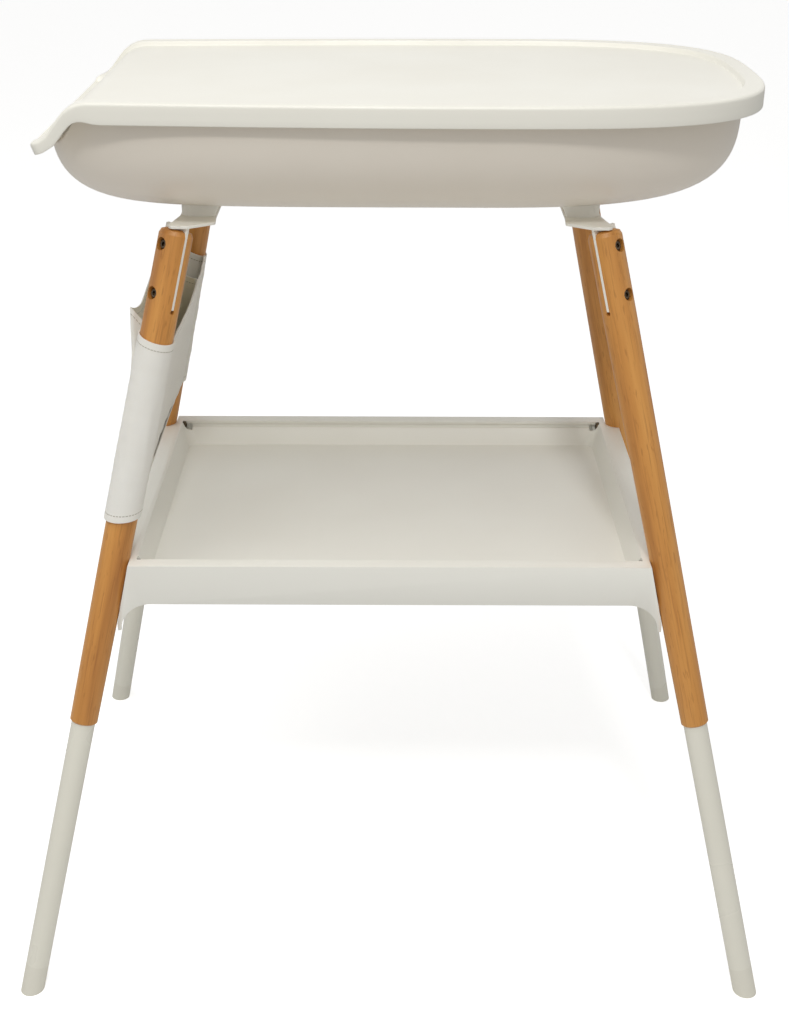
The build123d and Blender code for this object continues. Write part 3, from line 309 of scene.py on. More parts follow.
seal_rubber = moulded("seal rubber", srgb(88, 88, 88), srgb(76, 76, 76), 0.7, 900.0, 0.1)
plug_rubber = moulded("plug rubber", srgb(232, 232, 226), srgb(224, 224, 217), 0.55, 900.0, 0.08)
print("plain finishes made")

# %% [markdown]
# ## Beech
# A turned leg shows straight grain along its axis: slow bands of lighter and darker wood, fine pore
# lines, and the short dark flecks that mark beech. The legs lean in four directions, so each has the
# same finish with its pattern turned to its own axis by a Mapping node.

# %% Beech finish
FOOT_X, FOOT_Y, LEAN = 0.400, 0.297, 0.2295
CORNERS = {"front_left": (-1, -1), "front_right": (1, -1), "rear_right": (1, 1), "rear_left": (-1, 1)}


def leg_axes(sx, sy):
    """Foot centre of a leg, and its three directions: outwards, level and up the leg."""
    foot = np.array([sx * FOOT_X, sy * FOOT_Y, 0.0])
    along = np.array([-sx * LEAN, -sy * LEAN, 1.0])
    along /= np.linalg.norm(along)
    out = np.array([sx, sy, 2 * LEAN])
    out /= np.linalg.norm(out)
    return foot, out, np.cross(along, out), along


def beech(name, sx, sy, shift):
    """Lacquered beech with its grain along the leg of that corner."""
    material, tree, shader = new_material(name)
    _, out, level, along = leg_axes(sx, sy)
    place = node(tree, "ShaderNodeTexCoord").outputs["Object"]
    turned = node(tree, "ShaderNodeMapping", vector_type="POINT", in_Vector=place,
                  in_Rotation=Matrix((out, level, along)).to_euler(),
                  in_Location=(shift, shift * 0.7, shift * 1.3)).outputs["Vector"]

    def stretched(scale, detail, rough, squeeze):
        """Noise drawn out along the leg by the squeeze."""
        stretch = node(tree, "ShaderNodeMapping", vector_type="POINT", in_Vector=turned,
                       in_Scale=(1.0, 1.0, squeeze)).outputs["Vector"]
        return node(tree, "ShaderNodeTexNoise", in_Vector=stretch, in_Scale=scale, in_Detail=detail,
                    in_Roughness=rough).outputs["Fac"]

    bands = node(tree, "ShaderNodeValToRGB", in_Fac=stretched(60.0, 4.0, 0.55, 0.055))
    ramp = bands.color_ramp
    ramp.elements[0].position = 0.30
    ramp.elements[0].color = srgb(180, 117, 50)
    ramp.elements[1].position = 0.72
    ramp.elements[1].color = srgb(220, 158, 80)
    ramp.elements.new(0.5).color = srgb(205, 141, 66)
    pores = remap(tree, stretched(620.0, 2.0, 0.5, 0.03), 0.0, 0.40, 0.56, 0.70)
    flecks = remap(tree, stretched(430.0, 1.0, 0.4, 0.16), 0.0, 0.42, 0.65, 0.74)
    dark = maths(tree, "MAXIMUM", pores, flecks)
    bump = node(tree, "ShaderNodeBump", in_Strength=0.12, in_Distance=0.0003, invert=True, in_Height=dark)
    feed(shader, Base_Color=blend(tree, dark, bands.outputs["Color"], srgb(152, 92, 38)),
         Roughness=remap(tree, dark, 0.42, 0.60), Normal=bump.outputs["Normal"],
         Coat_Weight=0.12, Coat_Roughness=0.35)
    return material


print("beech is turned to", [tuple(np.round(leg_axes(*c)[3], 3)) for c in CORNERS.values()])

# %% [markdown]
# ## Canvas
# The pouch is off-white cotton canvas. Its weave is two crossed sets of fine waves on the piece's own
# UV map, which is laid out in metres, so the thread count is the same on every panel. A hem shows as
# a raised band with a line of stitches, drawn from the distance to the cloth's edge that the mesh
# carries as an attribute.

# %% Canvas finish
THREAD, HEM, HEM_EDGE = 0.0009, 0.009, 0.0008
WAVE_LENGTH = 0.314  # of the wave texture at a scale of 1
STITCH_IN, STITCH_HALF, STITCH_STEP, STITCH_SHARE = 0.0022, 0.00045, 0.0032, 0.72


def canvas(name, colour, second, through):
    """Woven cotton: threads over and under, a slow mottle of lighter and darker tone, a sheen of loose fibres
    and stitched hems.
    """
    material, tree, shader = new_material(name)
    place = node(tree, "ShaderNodeUVMap", uv_map="cloth").outputs["UV"]
    waves = []
    for turn in (0.0, math.pi / 2):
        turned = node(tree, "ShaderNodeMapping", vector_type="POINT", in_Vector=place,
                      in_Rotation=(0, 0, turn))
        wave = node(tree, "ShaderNodeTexWave", wave_type="BANDS", bands_direction="X", wave_profile="SIN",
                    in_Scale=WAVE_LENGTH / THREAD, in_Distortion=1.2, in_Detail=1.0,
                    in_Vector=turned.outputs["Vector"])
        waves.append(wave.outputs["Fac"])
    weave = maths(tree, "MAXIMUM", *waves)
    where = node(tree, "ShaderNodeTexCoord").outputs["Object"]
    slow = node(tree, "ShaderNodeTexNoise", in_Scale=26.0, in_Detail=4.0, in_Vector=where).outputs["Fac"]
    edge = node(tree, "ShaderNodeAttribute", attribute_name="edge").outputs["Fac"]
    run = node(tree, "ShaderNodeAttribute", attribute_name="run").outputs["Fac"]
    band = remap(tree, edge, 1.0, 0.0, HEM - HEM_EDGE, HEM)
    off = maths(tree, "ABSOLUTE", maths(tree, "SUBTRACT", edge, HEM - STITCH_IN))
    step = maths(tree, "FRACT", maths(tree, "MULTIPLY", run, 1 / STITCH_STEP))
    stitch = maths(tree, "MULTIPLY", maths(tree, "LESS_THAN", off, STITCH_HALF),
                   maths(tree, "LESS_THAN", step, STITCH_SHARE))
    tone = blend(tree, 1.0, blend(tree, slow, colour, second), remap(tree, weave, 0.90, 1.03), "MULTIPLY")
    raised = maths(tree, "MULTIPLY_ADD", band, 1.6, weave)
    bump = node(tree, "ShaderNodeBump", in_Strength=0.35, in_Distance=0.0005,
                in_Height=maths(tree, "SUBTRACT", raised, stitch))
    feed(shader, Base_Color=blend(tree, stitch, tone, srgb(186, 178, 160)), Roughness=0.92,
         Normal=bump.outputs["Normal"], Sheen_Weight=0.25, Sheen_Roughness=0.5, Subsurface_Weight=through,
         Subsurface_Radius=(1.0, 0.95, 0.85), Subsurface_Scale=0.004)
    return material


cloth = canvas("pouch canvas", srgb(250, 247, 237), srgb(243, 239, 228), 0.3)
print("canvas has", round(0.01 / THREAD, 1), "threads to the centimetre")

# %% [markdown]
# ## Where the top surface runs
# The changing top is one sheet that falls away at its left end like the lip of a jug: level, over a
# crest, down a straight fall and out along a flare. Its line is worked out once from the angle at
# each length along it, and the sheet is bent over that line. So a point of the flat plan goes to
# the line's point at its length, pushed down square to the line by its depth.

# %% The lip's line
TOP_Z = 0.956
CREST_X, CREST_R, FALL_TURN, FALL_LEN = -0.276, 0.036, math.radians(52.0), 0.019
FLARE_R, FLARE_TURN, LIP_END_X = 0.022, math.radians(20.0), -0.335


def lip_line():
    """Tables of length, x, z and slope along the line, by adding up small steps of its angle."""
    step = 0.0002
    crest = CREST_R * FALL_TURN
    s = np.arange(0.0, 0.12, step)
    angle = np.clip(s / CREST_R, 0, FALL_TURN)
    angle = angle - np.clip((s - crest - FALL_LEN) / FLARE_R, 0, FALL_TURN - FLARE_TURN)
    x = CREST_X - np.concatenate([[0], np.cumsum(np.cos(angle[:-1]) * step)])
    z = TOP_Z - np.concatenate([[0], np.cumsum(np.sin(angle[:-1]) * step)])
    keep = x >= LIP_END_X
    return s[keep], x[keep], z[keep], angle[keep]


LIP_S, LIP_X, LIP_Z, LIP_ANGLE = lip_line()
U_END = CREST_X - LIP_S[-1]


def bend(u, y, depth):
    """Plan place (u, y) and depth, laid on the line: level to the right of the crest, bent beyond it."""
    s = np.clip(CREST_X - u, 0, LIP_S[-1])
    over = np.minimum(0, u - U_END)
    x = np.where(u >= CREST_X, u, np.interp(s, LIP_S, LIP_X) + over)
    z = np.interp(s, LIP_S, LIP_Z)
    angle = np.interp(s, LIP_S, LIP_ANGLE)
    return np.stack(np.broadcast_arrays(x + depth * np.sin(angle), y, z - depth * np.cos(angle)), axis=-1)


print("the lip is", round(1000 * LIP_S[-1]), "mm long and ends at height", round(1000 * LIP_Z[-1]), "mm")

# %% [markdown]
# ## The changing top
# A moulded tray with a flat rim, a shallow recess that runs out over the lip, rounded edges and a
# skirt all round. Its plan is a family of closed outlines, each drawn in from the last: a
# superellipse at the right, gently bowed sides, and a straight left edge with rounded corners. Rings
# on these outlines carry the profile: over the rim's round, down the skirt, round its lower edge,
# and back under the sheet.

# %% Plan outlines of the top
HALF_Y, ROUND_X, ROUND_LEN, POWER, BOW = 0.1975, 0.100, 0.269, 3.1, 0.0165
BOW_R = (ROUND_X - LIP_END_X) ** 2 / (2 * BOW)
PLAN_CORNER = 0.010


def side_y(u):
    """Half width of the plan: widest where the round end begins, bowed in towards the lip."""
    run = np.minimum(0, u - ROUND_X)
    return HALF_Y - BOW_R + np.sqrt(BOW_R**2 - run**2)


def half_outline(inset):
    """Half of a closed outline, from its right tip round the rear side to the middle of the left edge."""
    t = np.linspace(0, 1, 61) ** 1.15 * math.pi / 2
    right_u = ROUND_X + (ROUND_LEN - inset) * np.abs(np.cos(t)) ** (2 / POWER)
    right_y = (HALF_Y - inset) * np.sin(t) ** (2 / POWER)
    corner = max(PLAN_CORNER - inset, 0.0006)
    left = U_END + inset
    u = np.linspace(ROUND_X, left + corner, 60)[1:]
    turn = np.linspace(0, math.pi / 2, 9)[1:]
    high = side_y(left + corner) - inset
    corner_u = left + corner - corner * np.sin(turn)
    corner_y = high - corner + corner * np.cos(turn)
    edge_y = (high - corner) * (1 - np.linspace(0, 1, 44)[1:] ** 1.7)
    plan_u = np.concatenate([right_u, u, corner_u, np.full(len(edge_y), left)])
    plan_y = np.concatenate([right_y, side_y(u) - inset, corner_y, edge_y])
    return plan_u, plan_y


def outline(inset):
    """Whole closed outline: the half and its mirror image."""
    u, y = half_outline(inset)
    return np.concatenate([u, u[-2:0:-1]]), np.concatenate([y, -y[-2:0:-1]])


RIM, RECESS, SHEET, SKIRT, SKIRT_WALL, LOW_R = 0.0195, 0.005, 0.004, 0.0202, 0.0035, 0.0009
RECESS_BLEND, SKIRT_LESS, SKIRT_FROM, SKIRT_RUN = 0.0024, 0.0085, 0.012, 0.055


def smoothstep(value):
    """0 below 0, 1 above 1, and an even S between."""
    value = np.clip(value, 0, 1)
    return value * value * (3 - 2 * value)


def recess_depth(u, y):
    """Depth of the recess: full where the place is further from the sides and the round end than the rim."""
    from_side = side_y(u) - np.abs(y)
    beyond = np.clip(u - ROUND_X, 0, None)
    reach = (beyond / ROUND_LEN) ** POWER + (np.abs(y) / HALF_Y) ** POWER
    scale = reach ** (1 / POWER)
    from_end = (1 - scale) * np.minimum(ROUND_LEN, HALF_Y)
    inner = ((beyond / (ROUND_LEN - RIM)) ** POWER + (np.abs(y) / (HALF_Y - RIM)) ** POWER) ** (1 / POWER)
    near = np.where(u > ROUND_X, (1 - inner) * (HALF_Y - RIM) + RIM, from_side)
    near = np.where(from_end < 0, 0, near)
    return RECESS * smoothstep((near - RIM) / RECESS_BLEND + 0.5)


def skirt_depth(u):
    """Depth of the skirt, which gets shallower over the lip."""
    return SKIRT - SKIRT_LESS * smoothstep((CREST_X + SKIRT_FROM - u) / SKIRT_RUN)


def ring(inset, depth_of):
    """Ring of points on the outline at an inset, with a depth that depends on the place."""
    u, y = outline(inset)
    return bend(u, y, depth_of(u, y))


MIDDLE_END = 0.05


def middle_rings(depth_of, shares, inset):
    """Rings that shrink an outline onto the middle line, where the surface closes."""
    u, y = outline(inset)
    mid_u = np.clip(u, U_END + inset + MIDDLE_END, ROUND_X + MIDDLE_END)
    rings = []
    for share in shares:
        place = u + (mid_u - u) * share, y * (1 - share)
        rings.append(bend(*place, depth_of(*place)))
    return rings


EDGE_R = 0.0032
INSETS = np.concatenate([[0.0055, 0.009, 0.013, 0.016], np.arange(0.0173, 0.0230, 0.0006),
                         np.arange(0.025, 0.083, 0.0029)])
LAST = INSETS[-1]
SHARES = np.linspace(0, 1, 12)[1:]


def under(u, y):
    """Depth of the sheet's underside."""
    return recess_depth(u, y) + SHEET


def changing_top():
    """Closed skin of the changing top."""
    rings = middle_rings(recess_depth, SHARES[::-1], LAST)
    rings += [ring(d, recess_depth) for d in INSETS[::-1]]
    for turn in np.linspace(0, math.pi / 2, 6):
        inset, depth = EDGE_R * (1 - math.sin(turn)), EDGE_R * (1 - math.cos(turn))
        rings.append(ring(inset, lambda u, y, d=depth: d + recess_depth(u, y) * (1 - math.sin(turn))))
    for share in np.linspace(0, 1, 4)[1:]:
        rings.append(ring(0.0, lambda u, y, s=share: EDGE_R + s * (skirt_depth(u) - LOW_R - EDGE_R)))
    for turn in np.linspace(0, math.pi / 2, 4)[1:]:
        inset, drop = LOW_R * (1 - math.cos(turn)), LOW_R * math.sin(turn)
        rings.append(ring(inset, lambda u, y, d=drop: skirt_depth(u) - LOW_R + d))
    for turn in np.linspace(math.pi / 2, 0, 4):
        inset, drop = SKIRT_WALL - LOW_R * (1 - math.cos(turn)), LOW_R * math.sin(turn)
        rings.append(ring(inset, lambda u, y, d=drop: skirt_depth(u) - LOW_R + d))
    for share in np.linspace(0, 1, 4)[1:]:
        rings.append(ring(SKIRT_WALL, lambda u, y, s=share:
                          (1 - s) * (skirt_depth(u) - LOW_R) + s * under(u, y)))
    rings += [ring(d, under) for d in INSETS]
    rings += middle_rings(under, SHARES, LAST)
    piece = skin("changing_top_moulding", [np.stack(rings)])
    piece.data.materials.append(top_plastic)
    return piece


top_piece = changing_top()
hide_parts("changing_top")
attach(top_piece, "top")

HINGE_X = 0.150


def hinge_pads(half, low, high):
    """Blocks of both hinges: half a width, then the lowest and highest (y, z)."""
    return [slab((x - half, *low), (x + half, *high), 0.002) for x in (-HINGE_X, HINGE_X)]


rib_xs = [CREST_X + 0.020 + share * (ROUND_X + ROUND_LEN - CREST_X - 0.020) for share in (0.1, 0.4, 0.7)]
RIB_HALF, RIB_LOW, RIB_HIGH, RIB_EDGE = 0.00125, 0.941, 0.9475, 0.0006
grids = [slab((x - RIB_HALF, -0.160, RIB_LOW), (x + RIB_HALF, 0.160, RIB_HIGH), RIB_EDGE) for x in rib_xs]
grids += [slab((rib_xs[0], y - RIB_HALF, RIB_LOW), (rib_xs[-1], y + RIB_HALF, RIB_HIGH), RIB_EDGE)
          for y in (-0.070, 0.070)]
grids += hinge_pads(0.027, (0.1885, 0.937), (0.1995, 0.952))
rib_piece = skin("top_ribs_and_pads", grids)
rib_piece.data.materials.append(top_plastic)
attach(rib_piece, "top")

# %% [markdown]
# ## The bath
# A thin moulded tub: level outlines whose reach follows a quarter of a superellipse, from the flat of
# its floor up to the rim. The outer and the inner skin are the same formula, the inner one drawn in by
# the wall, and a narrow turned-out rim joins them. Under the lip, the wall ends lower, along the
# underside of the changing top.

# %% Outlines of the bath
TUB_LEFT, TUB_RIGHT, TUB_HALF, TUB_FLOOR, TUB_H = -0.3345, 0.354, 0.1825, 0.8275, 0.106
LEFT_MID, RIGHT_MID, TUB_MID = -0.097, 0.080, 0.090
TUB_WALL, TUB_RIM_Z, TUB_RIM_OUT, UNDER_SKIRT_Z, TUB_COLS = 0.003, 0.9455, 0.0085, 0.9035, 240
DRAIN_X, DRAIN_HOLE_R = 0.100, 0.0152
RIGHT_POWER, LEFT_POWER = 2.55, 5.2
END_POWER, END_FLAT, SIDE_POWER, SIDE_FLAT = 3.4, 0.16, 2.1, 0.135


def bulge(share, power, flat):
    """Reach at a share of the height, as a share of the full reach."""
    return flat + (1 - flat) * (1 - (1 - share) ** power) ** (1 / power)


def tub_ring(share, wall):
    """Level ring of the bath at a share of its round height, drawn in by the wall."""
    t = np.linspace(0, 2 * math.pi, TUB_COLS, endpoint=False)
    end, side = bulge(share, END_POWER, END_FLAT), bulge(share, SIDE_POWER, SIDE_FLAT)
    left = LEFT_MID + (TUB_LEFT + wall - LEFT_MID) * end
    right = RIGHT_MID + (TUB_RIGHT - wall - RIGHT_MID) * end
    c, s = np.cos(t), np.sin(t)
    power = np.where(c >= 0, RIGHT_POWER, LEFT_POWER)
    reach = np.where(c >= 0, right - TUB_MID, TUB_MID - left)
    x = TUB_MID + reach * np.sign(c) * np.abs(c) ** (2 / power)
    y = (TUB_HALF - wall) * side * np.sign(s) * np.abs(s) ** (2 / power)
    return x, y


def rim_height(x):
    """Height of the wall's edge: level, and under the lip along the underside of the changing top."""
    depth = RECESS + SHEET + 0.0015
    low = bend(CREST_X - LIP_S, 0.0, depth)
    order = np.argsort(low[:, 0])
    under_lip = np.interp(x, low[order, 0], low[order, 2])
    under_skirt = np.where(x < LIP_END_X + 0.0055, UNDER_SKIRT_Z, 1.0)
    return np.minimum(np.minimum(TUB_RIM_Z, under_lip), under_skirt)


def tub_skin(wall):
    """Rings of one skin of the bath, from the drain's hole to the top of the round."""
    low = TUB_FLOOR + wall
    rings = []
    t = np.linspace(0, 2 * math.pi, TUB_COLS, endpoint=False)
    x, y = tub_ring(0.0, wall)
    for share in np.linspace(0, 1, 8)[:-1] ** 1.3:
        hole_x, hole_y = DRAIN_X + DRAIN_HOLE_R * np.cos(t), DRAIN_HOLE_R * np.sin(t)
        rings.append(np.stack([hole_x + (x - hole_x) * share, hole_y + (y - hole_y) * share,
                               np.full_like(x, low)], axis=-1))
    for angle in np.linspace(0, math.pi / 2, 26):
        share = 1 - math.cos(angle)
        x, y = tub_ring(share, wall)
        z = np.minimum(low + (TUB_H - wall) * share, rim_height(x) - 0.0005)
        rings.append(np.stack([x, y, z], axis=-1))
    return rings


def tub():
    """Closed skin of the bath with its turned-out rim."""
    outer, inner = tub_skin(0.0), tub_skin(TUB_WALL)
    x, y = tub_ring(1.0, 0.0)
    in_x, in_y = tub_ring(1.0, TUB_WALL)
    z = rim_height(x)
    out = np.array([x - TUB_MID, y]) / np.hypot(x - TUB_MID, y)
    wide = TUB_RIM_OUT * smoothstep((x + 0.262) / 0.02)
    rings = []
    for grow, drop in ((0.0, 0.0034), (1.0, 0.0030), (1.06, 0.0015), (1.0, 0.0), (0.0, 0.0)):
        rings.append(np.stack([x + out[0] * wide * grow, y + out[1] * wide * grow, z - drop], axis=-1))
    rings.append(np.stack([in_x, in_y, rim_height(in_x)], axis=-1))
    piece = skin("bath_moulding", [np.stack(outer + rings + inner[::-1] + outer[:1])])
    piece.data.materials.append(tub_plastic)
    return piece


tub_piece = tub()
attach(tub_piece, "stand")
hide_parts("tub")

pad_piece = skin("bath_pads", hinge_pads(0.022, (0.168, 0.904), (0.184, 0.929)))
pad_piece.data.materials.append(tub_plastic)
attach(pad_piece, "stand")

# %% [markdown]
# ## Turned pieces
# Bolts, studs and the drain are turned: a list of radii and lengths is spun round an axis. Where a
# ring has to be a hexagon, its radius is divided by the cosine of the angle from the nearest flat.

# %% Turned pieces
STEEL_COLS = 48


def frame_of(axis):
    """Two directions square to an axis and to each other."""
    axis = np.asarray(axis, float) / np.linalg.norm(axis)
    side = np.cross(axis, [0.0, 0.0, 1.0] if abs(axis[2]) < 0.9 else [1.0, 0.0, 0.0])
    side /= np.linalg.norm(side)
    return side, np.cross(axis, side), axis


def turned(profile, centre, axis, hexes=()):
    """Grid of rings from (radius, length) rows in millimetres, round an axis through the centre."""
    side, other, along = frame_of(axis)
    rows = np.array(profile) * MM
    t = np.linspace(0, 2 * math.pi, STEEL_COLS, endpoint=False)
    flat = 1 / np.cos((t % (math.pi / 3)) - math.pi / 6)
    shape = np.ones((len(rows), STEEL_COLS))
    for row in hexes:
        shape[row] = flat * math.cos(math.pi / 6)
    r = rows[:, :1] * shape
    spun = r[..., None] * (np.cos(t)[None, :, None] * side + np.sin(t)[None, :, None] * other)
    return np.asarray(centre) + spun + rows[:, 1][:, None, None] * along


def socket_head(shank_r, shank, head_r, head):
    """Rows of a round-head bolt: shank below 0, a rounded head above it, a hex socket in its top."""
    key, lip = head_r * 0.46, head_r * 0.62
    rows = [(0, -shank), (shank_r - 0.4, -shank), (shank_r, -shank + 0.4), (shank_r, 0), (head_r, 0)]
    rows += [(head_r, head * 0.45), (head_r * 0.96, head * 0.70), (head_r * 0.86, head * 0.90)]
    rows += [(head_r * 0.74, head), (lip, head), (key, head - 0.3), (key, head - 2.4), (0, head - 2.6)]
    return rows, (10, 11)


def plain(name, node_names, grids, material, body="stand"):
    """A piece from turned grids that stands for construction nodes."""
    piece = skin(name, grids, smooth=38.0)
    piece.data.materials.append(material)
    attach(piece, body)
    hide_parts(*node_names)
    return piece


BOLT_PLACES, BOLT_SEAT = (0.84382, 0.79432), 0.010  # up the leg, and out from its axis
SHELF_BOLT_X, SHELF_BOLT_Z = 0.2645, 0.4825
grids = []
for sx, sy in CORNERS.values():
    foot, out, _, along = leg_axes(sx, sy)
    for place in BOLT_PLACES:
        rows, hexes = socket_head(3.0, 15.7, 5.4, 4.0)
        grids.append(turned(rows, foot + along * place + out * BOLT_SEAT, out, hexes))
plain("leg_bolt_heads", ["leg_bolts"], grids, bolt_steel_painted_shade)

grids = []
for sx, sy in CORNERS.values():
    rows, hexes = socket_head(2.5, 24.0, 5.0, 4.5)
    seat = (sx * SHELF_BOLT_X, sy * (FOOT_Y - LEAN * SHELF_BOLT_Z), SHELF_BOLT_Z)
    grids.append(turned(rows, seat, (-sx, 0, 0), hexes))
plain("shelf_bolt_heads", ["shelf_bolts"], grids, bolt_steel_painted_shade)

DRAIN_AT, DRAIN_MM = (DRAIN_X, 0.0, 0.0), 100
ring_rows = [(12, 816), (15, 816), (15, 831.5), (22, 831.5), (23, 832.1), (22.6, 833.0), (21.4, 833.5),
             (13.4, 833.5), (12.3, 833.0), (12, 832.2), (12, 816)]
bars = []
for half_x, half_y in ((12.2, 0.8), (0.8, 12.2)):
    x = DRAIN_MM + half_x * np.array([-1, 1, 1, -1])
    y = half_y * np.array([-1, -1, 1, 1])
    rows = [np.stack([x * k + DRAIN_MM * (1 - k), y * k, np.full(4, z)], axis=-1) for k, z in
            ((0.02, 816.2), (1, 816.2), (1, 817.9), (0.02, 817.9))]
    bars.append(np.array(rows) * MM)
plain("drain_ring", ["drain_outlet"], [turned(ring_rows, DRAIN_AT, (0, 0, 1))] + bars,
      hinge_steel)
seal_rows = [(15.3, 830.5), (20.6, 830.5), (21, 830.8), (21, 831.2), (20.6, 831.5), (15.3, 831.5),
             (15.3, 830.5)]
under_rows = [(r, h - 4.0) for r, h in seal_rows]
plain("drain_seals", ["drain_seal", "drain_washer"], [turned(seal_rows, DRAIN_AT, (0, 0, 1)),
      turned(under_rows, DRAIN_AT, (0, 0, 1))], seal_rubber)
plug_rows = [(0, 825.8), (11.0, 825.8), (11.6, 826.6), (11.6, 833.8), (15.6, 833.8), (16.4, 834.3),
             (16.5, 835.2), (15.8, 836.1), (13.0, 836.3), (4.6, 836.5), (3.4, 837.4), (3.2, 839.0),
             (3.2, 841.8), (3.8, 843.0), (5.1, 843.9), (5.5, 845.6), (5.1, 847.3), (3.4, 848.2), (0, 848.3)]
plain("drain_stopper", ["drain_plug"], [turned(plug_rows, DRAIN_AT, (0, 0, 1))],
      plug_rubber, "plug")

# %% [markdown]
# ## Cloth
# Each panel of the pouch starts as a grid of points in the middle of the cloth. Both faces lie half
# the cloth's thickness from it along the grid's normals, and strips close its edges. Every point
# also carries its distance to the nearest hem edge and its place along it, which the finish reads.

# %% Cloth from a grid
CLOTH = 0.0012


def cloth_piece(name, mid, flat, edge, run, wrap=False, inside_painted_shade=None):
    """Closed thin shell about a grid (rows, cols, 3); flat holds its places on the uncut cloth."""
    rows, cols = mid.shape[:2]
    along, across = np.gradient(mid, axis=1), np.gradient(mid, axis=0)
    if wrap:
        along[:, 0] = along[:, -1] = (mid[:, 1] - mid[:, -2]) / 2
        across[:, 0] = across[:, -1]
    normal = np.cross(along, across)
    size = np.linalg.norm(normal, axis=-1, keepdims=True)
    normal = np.where(size > 1e-12, normal / np.maximum(size, 1e-12), UP)
    faces = [mid + normal * CLOTH / 2, mid - normal * CLOTH / 2]
    points = np.concatenate([f.reshape(-1, 3) for f in faces])
    count = rows * cols
    outer = grid_quads(rows, cols, False)
    inner = grid_quads(rows, cols, False, count)[:, ::-1]
    number = np.arange(count).reshape(rows, cols)
    rims = [number[0], number[-1][::-1]]
    if not wrap:
        rims = [number[0], number[:, -1], number[-1][::-1], number[::-1, 0]]
    strips = [np.stack([r[1:], r[:-1], r[:-1] + count, r[1:] + count], axis=1) for r in rims]
    quads = np.concatenate([outer, inner] + strips)
    mesh = bpy.data.meshes.new(name)
    mesh.from_pydata(points.tolist(), [], quads.tolist())
    for label, values in (("edge", edge), ("run", run)):
        carried = mesh.attributes.new(label, "FLOAT", "POINT")
        carried.data.foreach_set("value", np.tile(values.ravel(), 2).astype(np.float32))
    layer = mesh.uv_layers.new(name="cloth")
    places = np.tile(flat.reshape(-1, 2), (2, 1))
    layer.data.foreach_set("uv", places[quads.ravel()].ravel().astype(np.float32))
    mesh.materials.append(cloth)
    # A second material for the inner faces carries the painted shade inside the bag.
    if inside_painted_shade:
        mesh.materials.append(inside_painted_shade)
        index = np.zeros(len(quads), np.int32)
        index[len(outer):2 * len(outer)] = 1
        mesh.polygons.foreach_set("material_index", index)
    cleaned(mesh)
    piece = placed(name, mesh)
    shade(piece, 60.0)
    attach(piece, "stand")
    return piece


def ripple(a, b, seed):
    """Mean of five waves whose directions and lengths are drawn, between -1 and 1, for each seed."""
    rng = np.random.default_rng(seed)
    total = np.zeros(np.broadcast(a, b).shape)
    for _ in range(5):
        fa, fb, phase = rng.uniform(-1, 1), rng.uniform(-1, 1), rng.uniform(0, 2 * math.pi)
        total = total + np.sin(a * fa * 190 + b * fb * 130 + phase)
    return total / 5


# %% [markdown]
# ## The pouch
# No cut pattern is known, so the flat sizes are estimates, and nothing here confirms them.
#
# Two sleeves are sewn round the left legs, with their tops cut on a slant. A panel joins them on
# the inner side, pulled in at its foot by the weight and bowed out along its top. The bag hangs
# between them: a rounded box whose gussets fold in, whose outer side bellies, and whose rim sags.

# %% Sleeves and panel
SLEEVES = {-1: (0.533, 0.718, 0.710), 1: (0.551, 0.737, 0.724)}
SLEEVE_MID, SLEEVE_CREASE = 0.0182, 0.0011


def sleeve_grid(sy):
    """Points, flat places, hem distance and run of one sleeve."""
    low, outer, inner = SLEEVES[sy]
    foot, out, level, along = leg_axes(-1, sy)
    t = np.linspace(0, 2 * math.pi, 73)[None, :]
    share = np.linspace(0, 1, 76)[:, None]
    aside = np.cos(t) * out[0] + np.sin(t) * level[0]
    top = (outer + inner) / 2 - (outer - inner) / 2 * aside / abs(out[0])
    z = low + (top - low) * share
    slack = np.minimum(share * 5, np.minimum((1 - share) * 5, 1))
    creases = np.maximum(0, ripple(0.05 * np.cos(t) + 0.03 * np.sin(t), z, 5 + sy))
    creases = creases + 0.6 * np.maximum(0, np.sin(z * 430 + 2 * np.sin(t + sy)) - 0.55)
    r = SLEEVE_MID + SLEEVE_CREASE * slack * creases + 0 * t
    rise = (z - r * out[2] * np.cos(t)) / along[2]
    around = np.cos(t)[..., None] * out + np.sin(t)[..., None] * level
    spot = foot + rise[..., None] * along + r[..., None] * around
    flat = np.stack(np.broadcast_arrays(t * SLEEVE_MID, z), axis=-1)
    edge = np.minimum(top - z, z - low) + 0 * t
    return spot, flat, edge, flat[..., 0]


for sy, label in ((-1, "front"), (1, "rear")):
    mid, flat, edge, run = sleeve_grid(sy)
    piece = cloth_piece("sleeve_cloth_" + label, mid, flat, edge, run, wrap=True)
    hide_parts("pouch_sleeve_" + label)


PULL_FROM, PULL_TALL, PULL_FOOT, PULL_RISE = 0.54, 0.175, -0.0055, 0.0105
PANEL_END, PANEL_IN, PANEL_FOLD = 0.0104, 0.0163, 0.0012


def plane_x(z):
    """X of the plane through the axes of the two left legs."""
    return -(FOOT_X - LEAN * z)


def pull(y, z):
    """How far the inner panel stands out of its plane: in at its foot, out along its top."""
    width = FOOT_Y - LEAN * z
    high = np.clip((z - PULL_FROM) / PULL_TALL, 0, 1)
    return np.cos(np.clip(y / width, -1, 1) * math.pi / 2) * (PULL_FOOT + PULL_RISE * high)


